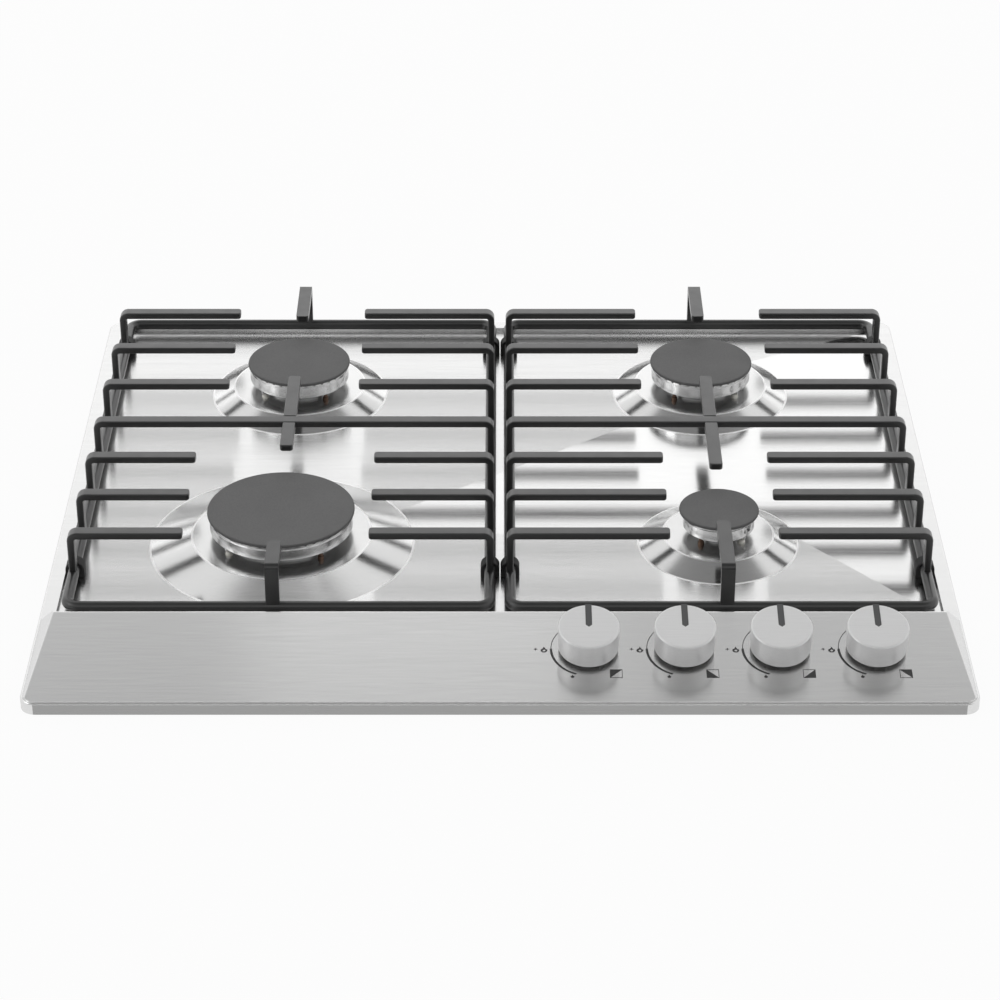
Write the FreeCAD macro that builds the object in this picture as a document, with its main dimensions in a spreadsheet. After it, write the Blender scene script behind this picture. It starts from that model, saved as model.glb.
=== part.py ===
import FreeCAD, Part
import math
import os
import Sketcher
from FreeCAD import Placement, Rotation, Vector

# Built-in gas cooktop with four burners, in millimetres.
# The origin is the centre of the worktop cut-out, z = 0 is the worktop's top face,
# +X is to the user's right, +Y to the rear and +Z up.

doc = FreeCAD.newDocument("gas_cooktop")
sheet = doc.addObject("Spreadsheet::Sheet", "Sizes")
X_AXIS = Vector(1, 0, 0)
Y_AXIS = Vector(0, 1, 0)
Z_AXIS = Vector(0, 0, 1)
parts = []


class Size:
    # a number together with the expression that gives it in the sheet
    def __init__(self, value, text):
        self.value = value
        self.text = text

    def __add__(self, other):
        other = as_size(other)
        return Size(self.value + other.value, f"({self.text} + {other.text})")

    def __sub__(self, other):
        other = as_size(other)
        return Size(self.value - other.value, f"({self.text} - {other.text})")

    def __mul__(self, other):
        other = as_size(other)
        return Size(self.value * other.value, f"({self.text} * {other.text})")

    def __truediv__(self, other):
        other = as_size(other)
        return Size(self.value / other.value, f"({self.text} / {other.text})")

    def __neg__(self):
        return self * -1

    __radd__ = __add__
    __rmul__ = __mul__

    def __rsub__(self, other):
        return as_size(other) - self

    def __rtruediv__(self, other):
        return as_size(other) / self


def as_size(amount):
    return amount if isinstance(amount, Size) else Size(float(amount), f"({amount})")


def size(name, value):
    # a driving dimension: one row of the sheet
    row = len(sheet.getUsedCells()) // 2 + 1
    sheet.set(f"A{row}", name)
    sheet.set(f"B{row}", str(value))
    sheet.setAlias(f"B{row}", name)
    return Size(float(value), f"Sizes.{name}")


def tangent(angle):
    return Size(math.tan(math.radians(angle.value)), f"tan({angle.text})")


def sine(angle):
    return Size(math.sin(math.radians(angle.value)), f"sin({angle.text})")


def cosine(angle):
    return Size(math.cos(math.radians(angle.value)), f"cos({angle.text})")


# ---------------------------------------------------------------- driving dimensions

plate_width = size("plate_width", 580)
plate_depth = size("plate_depth", 510)
plate_corner = size("plate_corner", 10)
rim_height = size("rim_height", 8.4)
rim_width = size("rim_width", 10)
rim_round = size("rim_round", 1.2)
step_depth = size("step_depth", 3)
step_corner = size("step_corner", 6)
sheet_metal = size("sheet_metal", 0.8)
skirt_gap = size("skirt_gap", 0.6)

panel_depth = size("panel_depth", 94.3)
panel_tilt = size("panel_tilt", 12.3)
panel_front_rise = size("panel_front_rise", 1)
panel_inset = size("panel_inset", 1.5)
panel_side_lean = size("panel_side_lean", 31.7)
panel_rear_lean = size("panel_rear_lean", 44)
panel_round = size("panel_round", 2.5)

burner_offset_x = size("burner_offset_x", 143)
front_burner_setback = size("front_burner_setback", 194.2)
rear_burner_setback = size("rear_burner_setback", 107.6)
surround_rise = size("surround_rise", 7.6)
cap_height = size("cap_height", 18.7)
cap_thickness = size("cap_thickness", 2.4)
cap_round = size("cap_round", 0.9)
cap_lip = size("cap_lip", 2)
crown_wall = size("crown_wall", 3)
crown_step = size("crown_step", 0.8)
crown_step_height = size("crown_step_height", 2.4)
crown_depth = size("crown_depth", 9.9)
crown_rim = size("crown_rim", 4.5)
crown_floor = size("crown_floor", 2.5)
crown_chamber = size("crown_chamber", 5)
crown_foot = size("crown_foot", 2.5)
crown_foot_height = size("crown_foot_height", 1.5)
crown_spigot = size("crown_spigot", 6)
neck_inset = size("neck_inset", 11.2)
neck_play = size("neck_play", 0.3)
neck_hole_play = size("neck_hole_play", 0.5)
neck_wall = size("neck_wall", 2.5)
venturi_bore = size("venturi_bore", 6)
venturi_wall = size("venturi_wall", 1.5)
venturi_drop = size("venturi_drop", 8)
port_width = size("port_width", 1.4)
port_height = size("port_height", 2.2)
notch_width = size("notch_width", 7)

bowl_wall = size("bowl_wall", 2)
bowl_flange = size("bowl_flange", 3.2)
bowl_flange_thickness = size("bowl_flange_thickness", 3)
bowl_depth = size("bowl_depth", 13)
bowl_floor = size("bowl_floor", 4)
stem_radius = size("stem_radius", 12)
stem_length = size("stem_length", 22)
stem_boss = size("stem_boss", 6)
stem_boss_reach = size("stem_boss_reach", 18)
way_radius = size("way_radius", 2.6)
boss_girth = size("boss_girth", 5.4)
jet_well = size("jet_well", 12)
jet_radius = size("jet_radius", 4.5)
jet_thread = size("jet_thread", 3)
jet_thread_length = size("jet_thread_length", 5)
jet_orifice = size("jet_orifice", 0.6)
igniter_inset = size("igniter_inset", 4.5)
igniter_radius = size("igniter_radius", 2.5)
igniter_shoulder = size("igniter_shoulder", 0.6)
igniter_rise = size("igniter_rise", 2.4)
igniter_length = size("igniter_length", 19.5)
wire_radius = size("wire_radius", 0.8)
wire_rise = size("wire_rise", 2.6)
wire_hook = size("wire_hook", 2.8)
probe_radius = size("probe_radius", 2)
probe_rise = size("probe_rise", 4.4)
probe_length = size("probe_length", 28)
hole_play = size("hole_play", 0.3)

rod_radius = size("rod_radius", 3.6)
rod_lift = size("rod_lift", 7)
rod_corner = size("rod_corner", 8)
grate_gap = size("grate_gap", 6.4)
grate_side_setback = size("grate_side_setback", 16.4)
grate_rear_setback = size("grate_rear_setback", 12.1)
grate_front_setback = size("grate_front_setback", 103.7)
finger_height = size("finger_height", 38.5)
finger_width = size("finger_width", 8.8)
finger_thickness = size("finger_thickness", 4.6)
finger_bend = size("finger_bend", 6)
centre_bend = size("centre_bend", 4)
finger_inner_bend = size("finger_inner_bend", 2)
finger_edge = size("finger_edge", 0.9)
rear_pitch = size("rear_pitch", 54.5)
front_pitch = size("front_pitch", 49.5)
bar_setback = size("bar_setback", 216.6)
rear_tip_reach = size("rear_tip_reach", 44.9)
front_left_tip_reach = size("front_left_tip_reach", 59.3)
front_right_tip_reach = size("front_right_tip_reach", 34.6)
rear_centre_reach = size("rear_centre_reach", 46)
front_left_centre_reach = size("front_left_centre_reach", 61.9)
front_right_centre_reach = size("front_right_centre_reach", 36.5)
foot_width = size("foot_width", 12.3)
foot_length = size("foot_length", 9)
foot_crown = size("foot_crown", 1.2)
foot_play = size("foot_play", 0.3)

knob_pitch = size("knob_pitch", 58.7)
first_knob = size("first_knob", 54.1)
knob_setback = size("knob_setback", 45)
knob_radius = size("knob_radius", 18.9)
knob_taper = size("knob_taper", 0.4)
knob_height = size("knob_height", 17)
knob_gap = size("knob_gap", 2.9)
knob_chamfer = size("knob_chamfer", 0.8)
knob_wall = size("knob_wall", 2.3)
knob_roof = size("knob_roof", 3)
hub_roof = size("hub_roof", 2.4)
knob_hub = size("knob_hub", 7)
knob_hub_lift = size("knob_hub_lift", 0.6)
pointer_width = size("pointer_width", 4)
pointer_depth = size("pointer_depth", 0.4)
spindle_radius = size("spindle_radius", 4)
spindle_fit = size("spindle_fit", 0.05)
spindle_collar = size("spindle_collar", 5.3)
spindle_collar_height = size("spindle_collar_height", 1)
tongue_width = size("tongue_width", 7)
tongue_thickness = size("tongue_thickness", 3)
tongue_length = size("tongue_length", 13)
tongue_play = size("tongue_play", 0.1)
knob_push = size("knob_push", 2.5)
spring_length = size("spring_length", 6.5)
spring_outer = size("spring_outer", 5)
spring_wall = size("spring_wall", 0.8)
plug_radius = size("plug_radius", 6)
plug_length = size("plug_length", 15.5)
plug_fit = size("plug_fit", 0.05)
tap_top = size("tap_top", 8)
tap_neck = size("tap_neck", 8)
tap_neck_length = size("tap_neck_length", 6)
tap_radius = size("tap_radius", 9.5)
tap_length = size("tap_length", 30)
tap_roof = size("tap_roof", 4)
tap_floor = size("tap_floor", 4.5)
stub_radius = size("stub_radius", 5)
bracket_thickness = size("bracket_thickness", 1.5)
bracket_depth = size("bracket_depth", 28)
bracket_end = size("bracket_end", 16)
seal_play = size("seal_play", 0.5)
seal_hole = size("seal_hole", 7)
seal_flange = size("seal_flange", 9)
seal_thickness = size("seal_thickness", 2)
seal_lip = size("seal_lip", 0.6)

rail_radius = size("rail_radius", 8)
rail_wall = size("rail_wall", 1)
rail_setback = size("rail_setback", 33)
rail_drop = size("rail_drop", 18)
rail_end = size("rail_end", 8)
outlet_drop = size("outlet_drop", 12)
outlet_setback = size("outlet_setback", 71)
pipe_radius = size("pipe_radius", 3)
pipe_bore = size("pipe_bore", 2)
pipe_bend = size("pipe_bend", 10)
pipe_dip = size("pipe_dip", 26)
feed_radius = size("feed_radius", 4)
feed_bend = size("feed_bend", 6)

tray_margin = size("tray_margin", 14)
tray_sheet = size("tray_sheet", 1)
tray_drop = size("tray_drop", 42)
ledge_width = size("ledge_width", 26)
ledge_drop = size("ledge_drop", 18)
vent_length = size("vent_length", 36)
vent_width = size("vent_width", 4)
vent_pitch = size("vent_pitch", 12)
tab_width = size("tab_width", 14)
tab_drop = size("tab_drop", 6)
tab_pitch = size("tab_pitch", 150)
tab_centre = size("tab_centre", 20)
boss_radius = size("boss_radius", 4)
screw_radius = size("screw_radius", 1.95)
screw_fit = size("screw_fit", 0.05)
screw_play = size("screw_play", 0.25)
screw_head = size("screw_head", 3.6)
screw_head_height = size("screw_head_height", 2.5)
screw_length = size("screw_length", 5)
clamp_pitch = size("clamp_pitch", 300)
clamp_width = size("clamp_width", 20)
clamp_length = size("clamp_length", 16)
clamp_sheet = size("clamp_sheet", 2)
clamp_drop = size("clamp_drop", 12)
clamp_screw_length = size("clamp_screw_length", 8)
rim_seal_play = size("rim_seal_play", 0.3)

inlet_setback = size("inlet_setback", 40)
inlet_thread = size("inlet_thread", 10.48)
inlet_thread_length = size("inlet_thread_length", 14)
inlet_nut = size("inlet_nut", 12)
inlet_nut_height = size("inlet_nut_height", 5)
inlet_body = size("inlet_body", 9)
inlet_bore = size("inlet_bore", 6)
inlet_drop = size("inlet_drop", 6)
inlet_top = size("inlet_top", 4)
gland_radius = size("gland_radius", 8)
gland_nut = size("gland_nut", 10)
gland_height = size("gland_height", 12)
gland_bore = size("gland_bore", 3.5)
terminal_length = size("terminal_length", 40)
terminal_width = size("terminal_width", 20)
terminal_height = size("terminal_height", 15)
terminal_setback = size("terminal_setback", 175)
spark_box_length = size("spark_box_length", 60)
spark_box_width = size("spark_box_width", 34)
spark_box_height = size("spark_box_height", 22)
spark_box_setback = size("spark_box_setback", 40)
spark_box_x = size("spark_box_x", 180)
lead_radius = size("lead_radius", 1.2)
lead_bend = size("lead_bend", 7)
lead_height = size("lead_height", 7)
switch_width = size("switch_width", 10)
switch_depth = size("switch_depth", 8)
switch_gap = size("switch_gap", 8.6)

# levels above the worktop and places that several pieces share
half_width = plate_width / 2
front_y = -plate_depth / 2
rear_y = plate_depth / 2
hob_z = rim_height - step_depth
surround_z = hob_z + surround_rise
under_z = surround_z - sheet_metal
cap_top_z = surround_z + cap_height
crown_top_z = cap_top_z - cap_thickness
crown_base_z = crown_top_z - crown_depth
panel_rear_y = front_y + panel_depth
front_burner_y = front_y + front_burner_setback
rear_burner_y = rear_y - rear_burner_setback
rod_z = hob_z + rod_lift
finger_z = hob_z + finger_height
grate_outer_x = half_width - grate_side_setback
grate_rear_y = rear_y - grate_rear_setback
grate_front_y = front_y + grate_front_setback
bar_y = rear_y - bar_setback
knob_y = front_y + knob_setback
panel_line_z = rim_height + panel_front_rise
knob_z = panel_line_z + (knob_setback - 2 * panel_inset) * tangent(panel_tilt)
tray_x = half_width - tray_margin
tray_y = rear_y - tray_margin
tray_top_z = hob_z - sheet_metal
tub_x = tray_x - ledge_width
tub_floor_z = tray_sheet - tray_drop
ledge_floor_z = tray_sheet - ledge_drop
ledge_x = tray_x - ledge_width / 2
stem_bottom_z = under_z - bowl_depth - bowl_floor - stem_length
boss_z = stem_bottom_z + stem_boss
outlet_y = front_y + outlet_setback
rail_y = front_y + rail_setback
lead_z = tub_floor_z + lead_height

# name, side, row, cap radius, crown radius, surround radius, flat radius, ports
burners = [
    ("front_left", -1, "front", 48.1, 46.8, 86.3, 58.8, 48),
    ("rear_left", -1, "rear", 36.0, 34.9, 61.7, 46.4, 36),
    ("rear_right", 1, "rear", 36.0, 34.9, 61.7, 46.4, 36),
    ("front_right", 1, "front", 26.0, 23.3, 52.4, 36.3, 24),
]
igniter_angle = 40
probe_angle = 50


# ---------------------------------------------------------------- building helpers

def bind(feature, **sizes):
    for name, amount in sizes.items():
        feature.setExpression(name, as_size(amount).text)


def place(feature, x=0, y=0, z=0, turn=None, axis=Z_AXIS):
    # moves a feature to (x, y, z), turned about one axis by a number or a size
    angle = as_size(turn or 0)
    spot = Vector(as_size(x).value, as_size(y).value, as_size(z).value)
    feature.Placement = Placement(spot, Rotation(axis, angle.value))
    for name, amount in (("x", x), ("y", y), ("z", z)):
        feature.setExpression(f"Placement.Base.{name}", as_size(amount).text)
    if isinstance(turn, Size):
        feature.setExpression("Placement.Rotation.Angle", turn.text)
    return feature


def block(name, low, high):
    feature = doc.addObject("Part::Box", name)
    spans = [as_size(high[i]) - low[i] for i in range(3)]
    bind(feature, Length=spans[0], Width=spans[1], Height=spans[2])
    return place(feature, *low)


def cylinder(name, radius, low, length, turn=None, axis=X_AXIS):
    feature = doc.addObject("Part::Cylinder", name)
    bind(feature, Radius=radius, Height=length)
    return place(feature, *low, turn, axis)


def fuse(name, shapes):
    feature = doc.addObject("Part::MultiFuse", name)
    feature.Shapes = shapes
    feature.Refine = True
    return feature


def cut(name, base, tools):
    feature = doc.addObject("Part::Cut", name)
    feature.Base = base
    feature.Tool = tools[0] if len(tools) == 1 else group(name + "_tools", tools)
    return feature


def common(name, base, tool):
    feature = doc.addObject("Part::MultiCommon", name)
    feature.Shapes = [base, tool]
    return feature


def group(name, shapes):
    feature = doc.addObject("Part::Compound", name)
    feature.Links = shapes
    return feature


def part(label, feature):
    # a finished sub-part: its label is the name of its file
    feature.Label = label
    parts.append(feature)
    return feature


def plane_of(body, role):
    return next(item for item in body.Origin.OriginFeatures if item.Role == role)


def sketch_on(body, name, role):
    sketch = body.newObject("Sketcher::SketchObject", name)
    sketch.AttachmentSupport = [(plane_of(body, role), "")]
    sketch.MapMode = "FlatFace"
    return sketch


def hold(sketch, kind, index, end, amount):
    # keeps one end of a line at a distance from the sketch's origin
    amount = as_size(amount)
    if amount.value == 0:
        axis = -2 if kind == "DistanceX" else -1
        sketch.addConstraint(Sketcher.Constraint("PointOnObject", index, end, axis))
        return
    made = sketch.addConstraint(Sketcher.Constraint(kind, -1, 1, index, end, amount.value))
    sketch.setExpression(f"Constraints[{made}]", amount.text)


def outline(sketch, corners):
    # a closed polygon whose corners are held by sizes
    spots = [Vector(as_size(x).value, as_size(y).value, 0) for x, y in corners]
    count = len(spots)
    for index in range(count):
        line = Part.LineSegment(spots[index], spots[(index + 1) % count])
        sketch.addGeometry(line, False)
    for index in range(count):
        follower = (index + 1) % count
        sketch.addConstraint(Sketcher.Constraint("Coincident", index, 2, follower, 1))
    for index, (x, y) in enumerate(corners):
        hold(sketch, "DistanceX", index, 1, x)
        hold(sketch, "DistanceY", index, 1, y)


def rounded_outline(sketch, half_x, half_y, radius):
    # a centred rectangle with rounded corners: four arcs joined by tangent lines
    reach_x = as_size(half_x) - radius
    reach_y = as_size(half_y) - radius
    radius = as_size(radius)
    signs = [(1, 1), (-1, 1), (-1, -1), (1, -1)]
    for index, (side_x, side_y) in enumerate(signs):
        centre = Vector(side_x * reach_x.value, side_y * reach_y.value, 0)
        circle = Part.Circle(centre, Z_AXIS, radius.value)
        start = index * math.pi / 2
        sketch.addGeometry(Part.ArcOfCircle(circle, start, start + math.pi / 2), False)
    for index in range(4):
        begin = sketch.Geometry[index].EndPoint
        end = sketch.Geometry[(index + 1) % 4].StartPoint
        sketch.addGeometry(Part.LineSegment(begin, end), False)
    for index in range(4):
        follower = (index + 1) % 4
        sketch.addConstraint(Sketcher.Constraint("Tangent", index, 2, index + 4, 1))
        sketch.addConstraint(Sketcher.Constraint("Tangent", index + 4, 2, follower, 1))
    for index, (side_x, side_y) in enumerate(signs):
        made = sketch.addConstraint(Sketcher.Constraint("Radius", index, radius.value))
        sketch.setExpression(f"Constraints[{made}]", radius.text)
        hold(sketch, "DistanceX", index, 3, reach_x * side_x)
        hold(sketch, "DistanceY", index, 3, reach_y * side_y)


def slab(name, half_x, half_y, radius, bottom, top, x=0, y=0):
    # an upright prism with rounded corners
    body = doc.addObject("PartDesign::Body", name)
    sketch = sketch_on(body, name + "_outline", "XY_Plane")
    rounded_outline(sketch, half_x, half_y, radius)
    pad = body.newObject("PartDesign::Pad", name + "_pad")
    pad.Profile = sketch
    bind(pad, Length=as_size(top) - bottom)
    return place(body, x, y, bottom)


def turned(name, profile):
    # a body turned about its own Z axis from (radius, height) corners
    body = doc.addObject("PartDesign::Body", name)
    sketch = sketch_on(body, name + "_profile", "XZ_Plane")
    outline(sketch, profile)
    turn = body.newObject("PartDesign::Revolution", name + "_turn")
    turn.Profile = sketch
    turn.ReferenceAxis = (sketch, ["V_Axis"])
    turn.Angle = 360
    return body


def barred(name, corners, width):
    # a flat bar whose side view lies in the XZ plane, with its width centred on Y
    body = doc.addObject("PartDesign::Body", name)
    sketch = sketch_on(body, name + "_side", "XZ_Plane")
    outline(sketch, corners)
    pad = body.newObject("PartDesign::Pad", name + "_pad")
    pad.Profile = sketch
    pad.SideType = "Symmetric"
    bind(pad, Length=width)
    return body


def round_edges(body, name, base, radius, chosen):
    # rounds those edges of the body's last feature that the test chooses
    doc.recompute()
    edges = enumerate(base.Shape.Edges, 1)
    names = [f"Edge{number}" for number, edge in edges if chosen(edge)]
    fillet = body.newObject("PartDesign::Fillet", name)
    fillet.Base = (base, names)
    bind(fillet, Radius=radius)
    body.Tip = fillet
    return fillet


def runs_across(x, z):
    # picks the edge that runs along Y at one place of a side view
    def chosen(edge):
        middle = edge.CenterOfMass
        near = abs(middle.x - as_size(x).value) < 0.01
        level = abs(middle.z - as_size(z).value) < 0.01
        return near and level and abs(middle.y) < 0.01
    return chosen


def on_tilt(feature, x):
    # stands a piece that was built about Z on the tilted panel, under one knob
    return place(feature, x, knob_y, knob_z, panel_tilt, X_AXIS)


def route(name, points, radius, bend, bore=None):
    # a round tube along straight runs that are joined by tangent arcs
    spots = [Vector(*[as_size(value).value for value in point]) for point in points]
    radius = as_size(radius).value
    bend = as_size(bend).value
    edges = []
    start = spots[0]
    for before, corner, after in zip(spots, spots[1:], spots[2:]):
        inward = (before - corner).normalize()
        outward = (after - corner).normalize()
        half_turn = inward.getAngle(outward) / 2
        back = bend / math.tan(half_turn)
        entry = corner + inward * back
        leave = corner + outward * back
        bisector = (inward + outward).normalize()
        middle = corner + bisector * (bend / math.sin(half_turn) - bend)
        edges.append(Part.LineSegment(start, entry).toShape())
        edges.append(Part.Arc(entry, middle, leave).toShape())
        start = leave
    edges.append(Part.LineSegment(start, spots[-1]).toShape())
    path = Part.Wire(edges)
    along = spots[1] - spots[0]

    def pipe(size_of):
        ring = Part.Wire(Part.makeCircle(size_of, spots[0], along))
        return path.makePipeShell([ring], True, False, 2)

    feature = doc.addObject("Part::Feature", name)
    solid = pipe(radius)
    feature.Shape = solid.cut(pipe(as_size(bore).value)) if bore else solid
    return feature


# ---------------------------------------------------------------- pressed top plate

def burner_centre(burner):
    y = front_burner_y if burner[2] == "front" else rear_burner_y
    return burner_offset_x * burner[1], y


def igniter_place(burner, angle):
    # the place of a spark plug or flame probe, in front of the burner's axis
    x, y = burner_centre(burner)
    reach = burner[4] - igniter_inset
    turn = math.radians(angle)
    return x + reach * round(burner[1] * math.cos(turn), 6), y - reach * round(math.sin(turn), 6)


def probe_place(burner):
    x, y = burner_centre(burner)
    reach = burner[4] - igniter_inset
    turn = math.radians(probe_angle)
    return x - reach * round(burner[1] * math.cos(turn), 6), y - reach * round(math.sin(turn), 6)


def panel_wedge(name, inset):
    # the raised control panel: a frustum whose top is sliced by the tilted plane
    height = panel_depth * tangent(panel_tilt) * 1.4
    base_z = rim_height - inset
    foot_x = half_width - panel_inset - inset
    foot_front = plate_depth / 2 - panel_inset - inset
    foot_rear = -panel_rear_y + inset
    frustum = doc.addObject("Part::Wedge", name + "_frustum")
    bind(
        frustum,
        Ymin=-step_depth,
        Ymax=height,
        Xmin=-foot_x - step_depth * tangent(panel_side_lean),
        Xmax=foot_x + step_depth * tangent(panel_side_lean),
        X2min=-foot_x + height * tangent(panel_side_lean),
        X2max=foot_x - height * tangent(panel_side_lean),
        Zmin=foot_rear - step_depth * tangent(panel_rear_lean),
        Zmax=foot_front,
        Z2min=foot_rear + height * tangent(panel_rear_lean),
        Z2max=foot_front,
    )
    place(frustum, 0, 0, base_z, 90, X_AXIS)
    lid = doc.addObject("Part::Box", name + "_lid")
    bind(lid, Length=plate_width * 2, Width=plate_depth, Height=height * 3)
    run_up = rim_height * 2
    line_y = front_y + 2 * panel_inset - run_up * cosine(panel_tilt)
    line_z = panel_line_z - inset / cosine(panel_tilt) - run_up * sine(panel_tilt)
    place(lid, -plate_width, line_y, line_z, panel_tilt, X_AXIS)
    sliced = cut(name + "_sliced", frustum, [lid])
    sides = slab(
        name + "_sides",
        half_width - panel_inset - inset,
        plate_depth / 2 - panel_inset - inset,
        plate_corner - panel_inset - inset,
        -rim_height,
        rim_height + height,
    )
    return common(name + "_trimmed", sliced, sides)


def pressed_form(name, inset):
    # the plate as a solid form; the sheet is what lies between two such forms
    plate = slab(
        name + "_plate",
        half_width - inset,
        plate_depth / 2 - inset,
        plate_corner - inset,
        skirt_gap - inset * 10,
        rim_height - inset,
    )
    recess_depth = (plate_depth - rim_width - panel_depth) / 2
    recess = slab(
        name + "_recess",
        half_width - rim_width + inset,
        recess_depth + inset,
        step_corner + inset,
        hob_z - inset,
        rim_height * 3,
        0,
        panel_rear_y + recess_depth,
    )
    cones = []
    for burner in burners:
        x, y = burner_centre(burner)
        cone = doc.addObject("Part::Cone", f"{name}_{burner[0]}_surround")
        slope = (burner[5] - burner[6]) / surround_rise
        bind(cone, Radius1=burner[5] + slope, Radius2=burner[6], Height=surround_rise + 1)
        cones.append(place(cone, x, y, hob_z - inset - 1))
    sunk = cut(name + "_sunk", plate, [recess])
    return fuse(name + "_form", [sunk, panel_wedge(name + "_panel", inset)] + cones)


def soften_top(form):
    # rounds the rim's outer edge and the crest of the control panel
    doc.recompute()
    rounded = []
    for number, edge in enumerate(form.Shape.Edges, 1):
        box = edge.BoundBox
        middle = edge.CenterOfMass
        on_rim = box.ZMin > rim_height.value - 0.01 and box.ZMax < rim_height.value + 0.01
        beside = abs(middle.x) > half_width.value - plate_corner.value + 1
        behind = middle.y > rear_y.value - plate_corner.value + 1
        before = middle.y < front_y.value + 1
        outer = abs(middle.x) > half_width.value - 0.01 or behind and middle.y > rear_y.value - 4
        if on_rim and (outer or before or beside and abs(middle.y) > rear_y.value - 4):
            rounded.append((number, rim_round.value, rim_round.value))
        crest = box.ZMax > rim_height.value + 5
        if crest and (box.XLength > 100 or box.YLength > 60):
            rounded.append((number, panel_round.value, panel_round.value))
    soft = doc.addObject("Part::Fillet", "TopPlateSoftened")
    soft.Base = form
    soft.Edges = rounded
    return soft


def top_plate():
    outer = soften_top(pressed_form("Outer", as_size(0)))
    inner = pressed_form("Inner", sheet_metal)
    openings = []
    for burner in burners:
        x, y = burner_centre(burner)
        neck = burner[4] - neck_inset + neck_hole_play
        drilled = [(neck, (x, y))]
        drilled.append((igniter_radius + hole_play, igniter_place(burner, igniter_angle)))
        drilled.append((probe_radius + hole_play, probe_place(burner)))
        for radius, (hole_x, hole_y) in drilled:
            low = (hole_x, hole_y, hob_z)
            openings.append(cylinder("PlateHole", radius, low, surround_rise * 2))
    for x in knob_places():
        hole = cylinder("PanelHole", seal_hole, (0, 0, 0), knob_height * 2)
        hole = fuse("PanelHoleDown", [hole, cylinder("PanelHoleUp", seal_hole, (0, 0, -5), 5)])
        openings.append(on_tilt(hole, x))
    shell = cut("TopPlateShell", outer, [inner] + openings)
    bosses = [shell]
    bores = []
    for x, y in tab_places():
        low = (x, y, tray_top_z - tab_drop)
        bosses.append(cylinder("ScrewBoss", boss_radius, low, tab_drop + sheet_metal / 2))
        bores.append(cylinder("BossBore", screw_radius + screw_fit, low, tab_drop - 0.5))
    part("top_plate", cut("TopPlate", fuse("TopPlateBossed", bosses), bores))


def knob_places():
    return [first_knob + knob_pitch * index for index in range(4)]


def tab_places():
    rows = [tab_centre + tab_pitch * step for step in (-1, 0, 1)]
    return [(ledge_x * side, y) for side in (-1, 1) for y in rows]


def clamp_places():
    rows = [clamp_pitch * -0.5, clamp_pitch * 0.5]
    return [(ledge_x * side, y, side) for side in (-1, 1) for y in rows]


def rim_seal():
    # the foam strip between the rim and the worktop
    outer_x = half_width - sheet_metal - rim_seal_play
    outer_y = plate_depth / 2 - sheet_metal - rim_seal_play
    outer_radius = plate_corner - sheet_metal - rim_seal_play
    inner_x = half_width - rim_width + sheet_metal + rim_seal_play
    inner_y = plate_depth / 2 - rim_width + sheet_metal + rim_seal_play
    ring = slab("RimSealOuter", outer_x, outer_y, outer_radius, 0, rim_height - sheet_metal)
    hole = slab("RimSealInner", inner_x, inner_y, step_corner / 2, -1, rim_height)
    part("rim_seal", cut("RimSeal", ring, [hole]))


# ---------------------------------------------------------------- tray under the plate

def tray_form(name, inset, top):
    # a trough with a ledge along each side, seen from the front
    high_x = tray_x - inset
    low_x = tub_x - inset
    ledge_z = inset - ledge_drop
    floor_z = inset - tray_drop
    corners = [
        (-low_x, floor_z), (low_x, floor_z), (low_x, ledge_z), (high_x, ledge_z),
        (high_x, top), (-high_x, top), (-high_x, ledge_z), (-low_x, ledge_z),
    ]
    return barred(name, corners, (tray_y - inset) * 2)


def base_tray():
    shell = cut(
        "TrayShell",
        tray_form("TrayOuter", as_size(0), tray_top_z),
        [tray_form("TrayInner", tray_sheet, tray_top_z + 1)],
    )
    tab_top = tray_top_z - tab_drop
    pieces = [shell]
    holes = []
    for x, y in tab_places():
        side = 1 if x.value > 0 else -1
        ends = sorted((x - 8 * side, tray_x * side), key=lambda end: end.value)
        low = (ends[0], y - tab_width / 2, tab_top - tray_sheet)
        high = (ends[1], y + tab_width / 2, tab_top)
        pieces.append(block("TrayTab", low, high))
        holes.append(cylinder("TabHole", screw_radius + screw_play, (x, y, tab_top - 5), 10))
    for x, y, side in clamp_places():
        low = (x, y, -ledge_drop - 1)
        holes.append(cylinder("ClampHole", screw_radius + screw_play, low, 5))
    inlet_low = (ledge_x, rear_y - inlet_setback, -ledge_drop - 1)
    holes.append(cylinder("InletHole", inlet_body + hole_play, inlet_low, 5))
    gland_low = (-ledge_x, rear_y - inlet_setback, -ledge_drop - 1)
    holes.append(cylinder("GlandHole", gland_radius + hole_play, gland_low, 5))
    for index in range(-4, 5):
        x = vent_pitch * index
        low = (x - vent_width / 2, tray_y - vent_length - 20, -tray_drop - 1)
        high = (x + vent_width / 2, tray_y - 20, -tray_drop + 3)
        holes.append(block("Vent", low, high))
    part("base_tray", cut("BaseTray", fuse("TrayTabbed", pieces), holes))


def screws():
    # the tray hangs on six screws, the clamps on four
    fixings = []
    for x, y in tab_places():
        seat = tray_top_z - tab_drop - tray_sheet
        head = cylinder("TrayScrewHead", screw_head, (x, y, seat - screw_head_height), screw_head_height)
        shank = cylinder("TrayScrewShank", screw_radius, (x, y, seat), screw_length)
        fixings.append(fuse("TrayScrew", [head, shank]))
    part("tray_screws", group("TrayScrews", fixings))
    fixings = []
    for x, y, side in clamp_places():
        seat = -ledge_drop - clamp_sheet
        head = cylinder("ClampScrewHead", screw_head, (x, y, seat - screw_head_height), screw_head_height)
        shank = cylinder("ClampScrewShank", screw_radius, (x, y, seat), clamp_screw_length)
        fixings.append(fuse("ClampScrew", [head, shank]))
    part("clamp_screws", group("ClampScrews", fixings))


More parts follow.
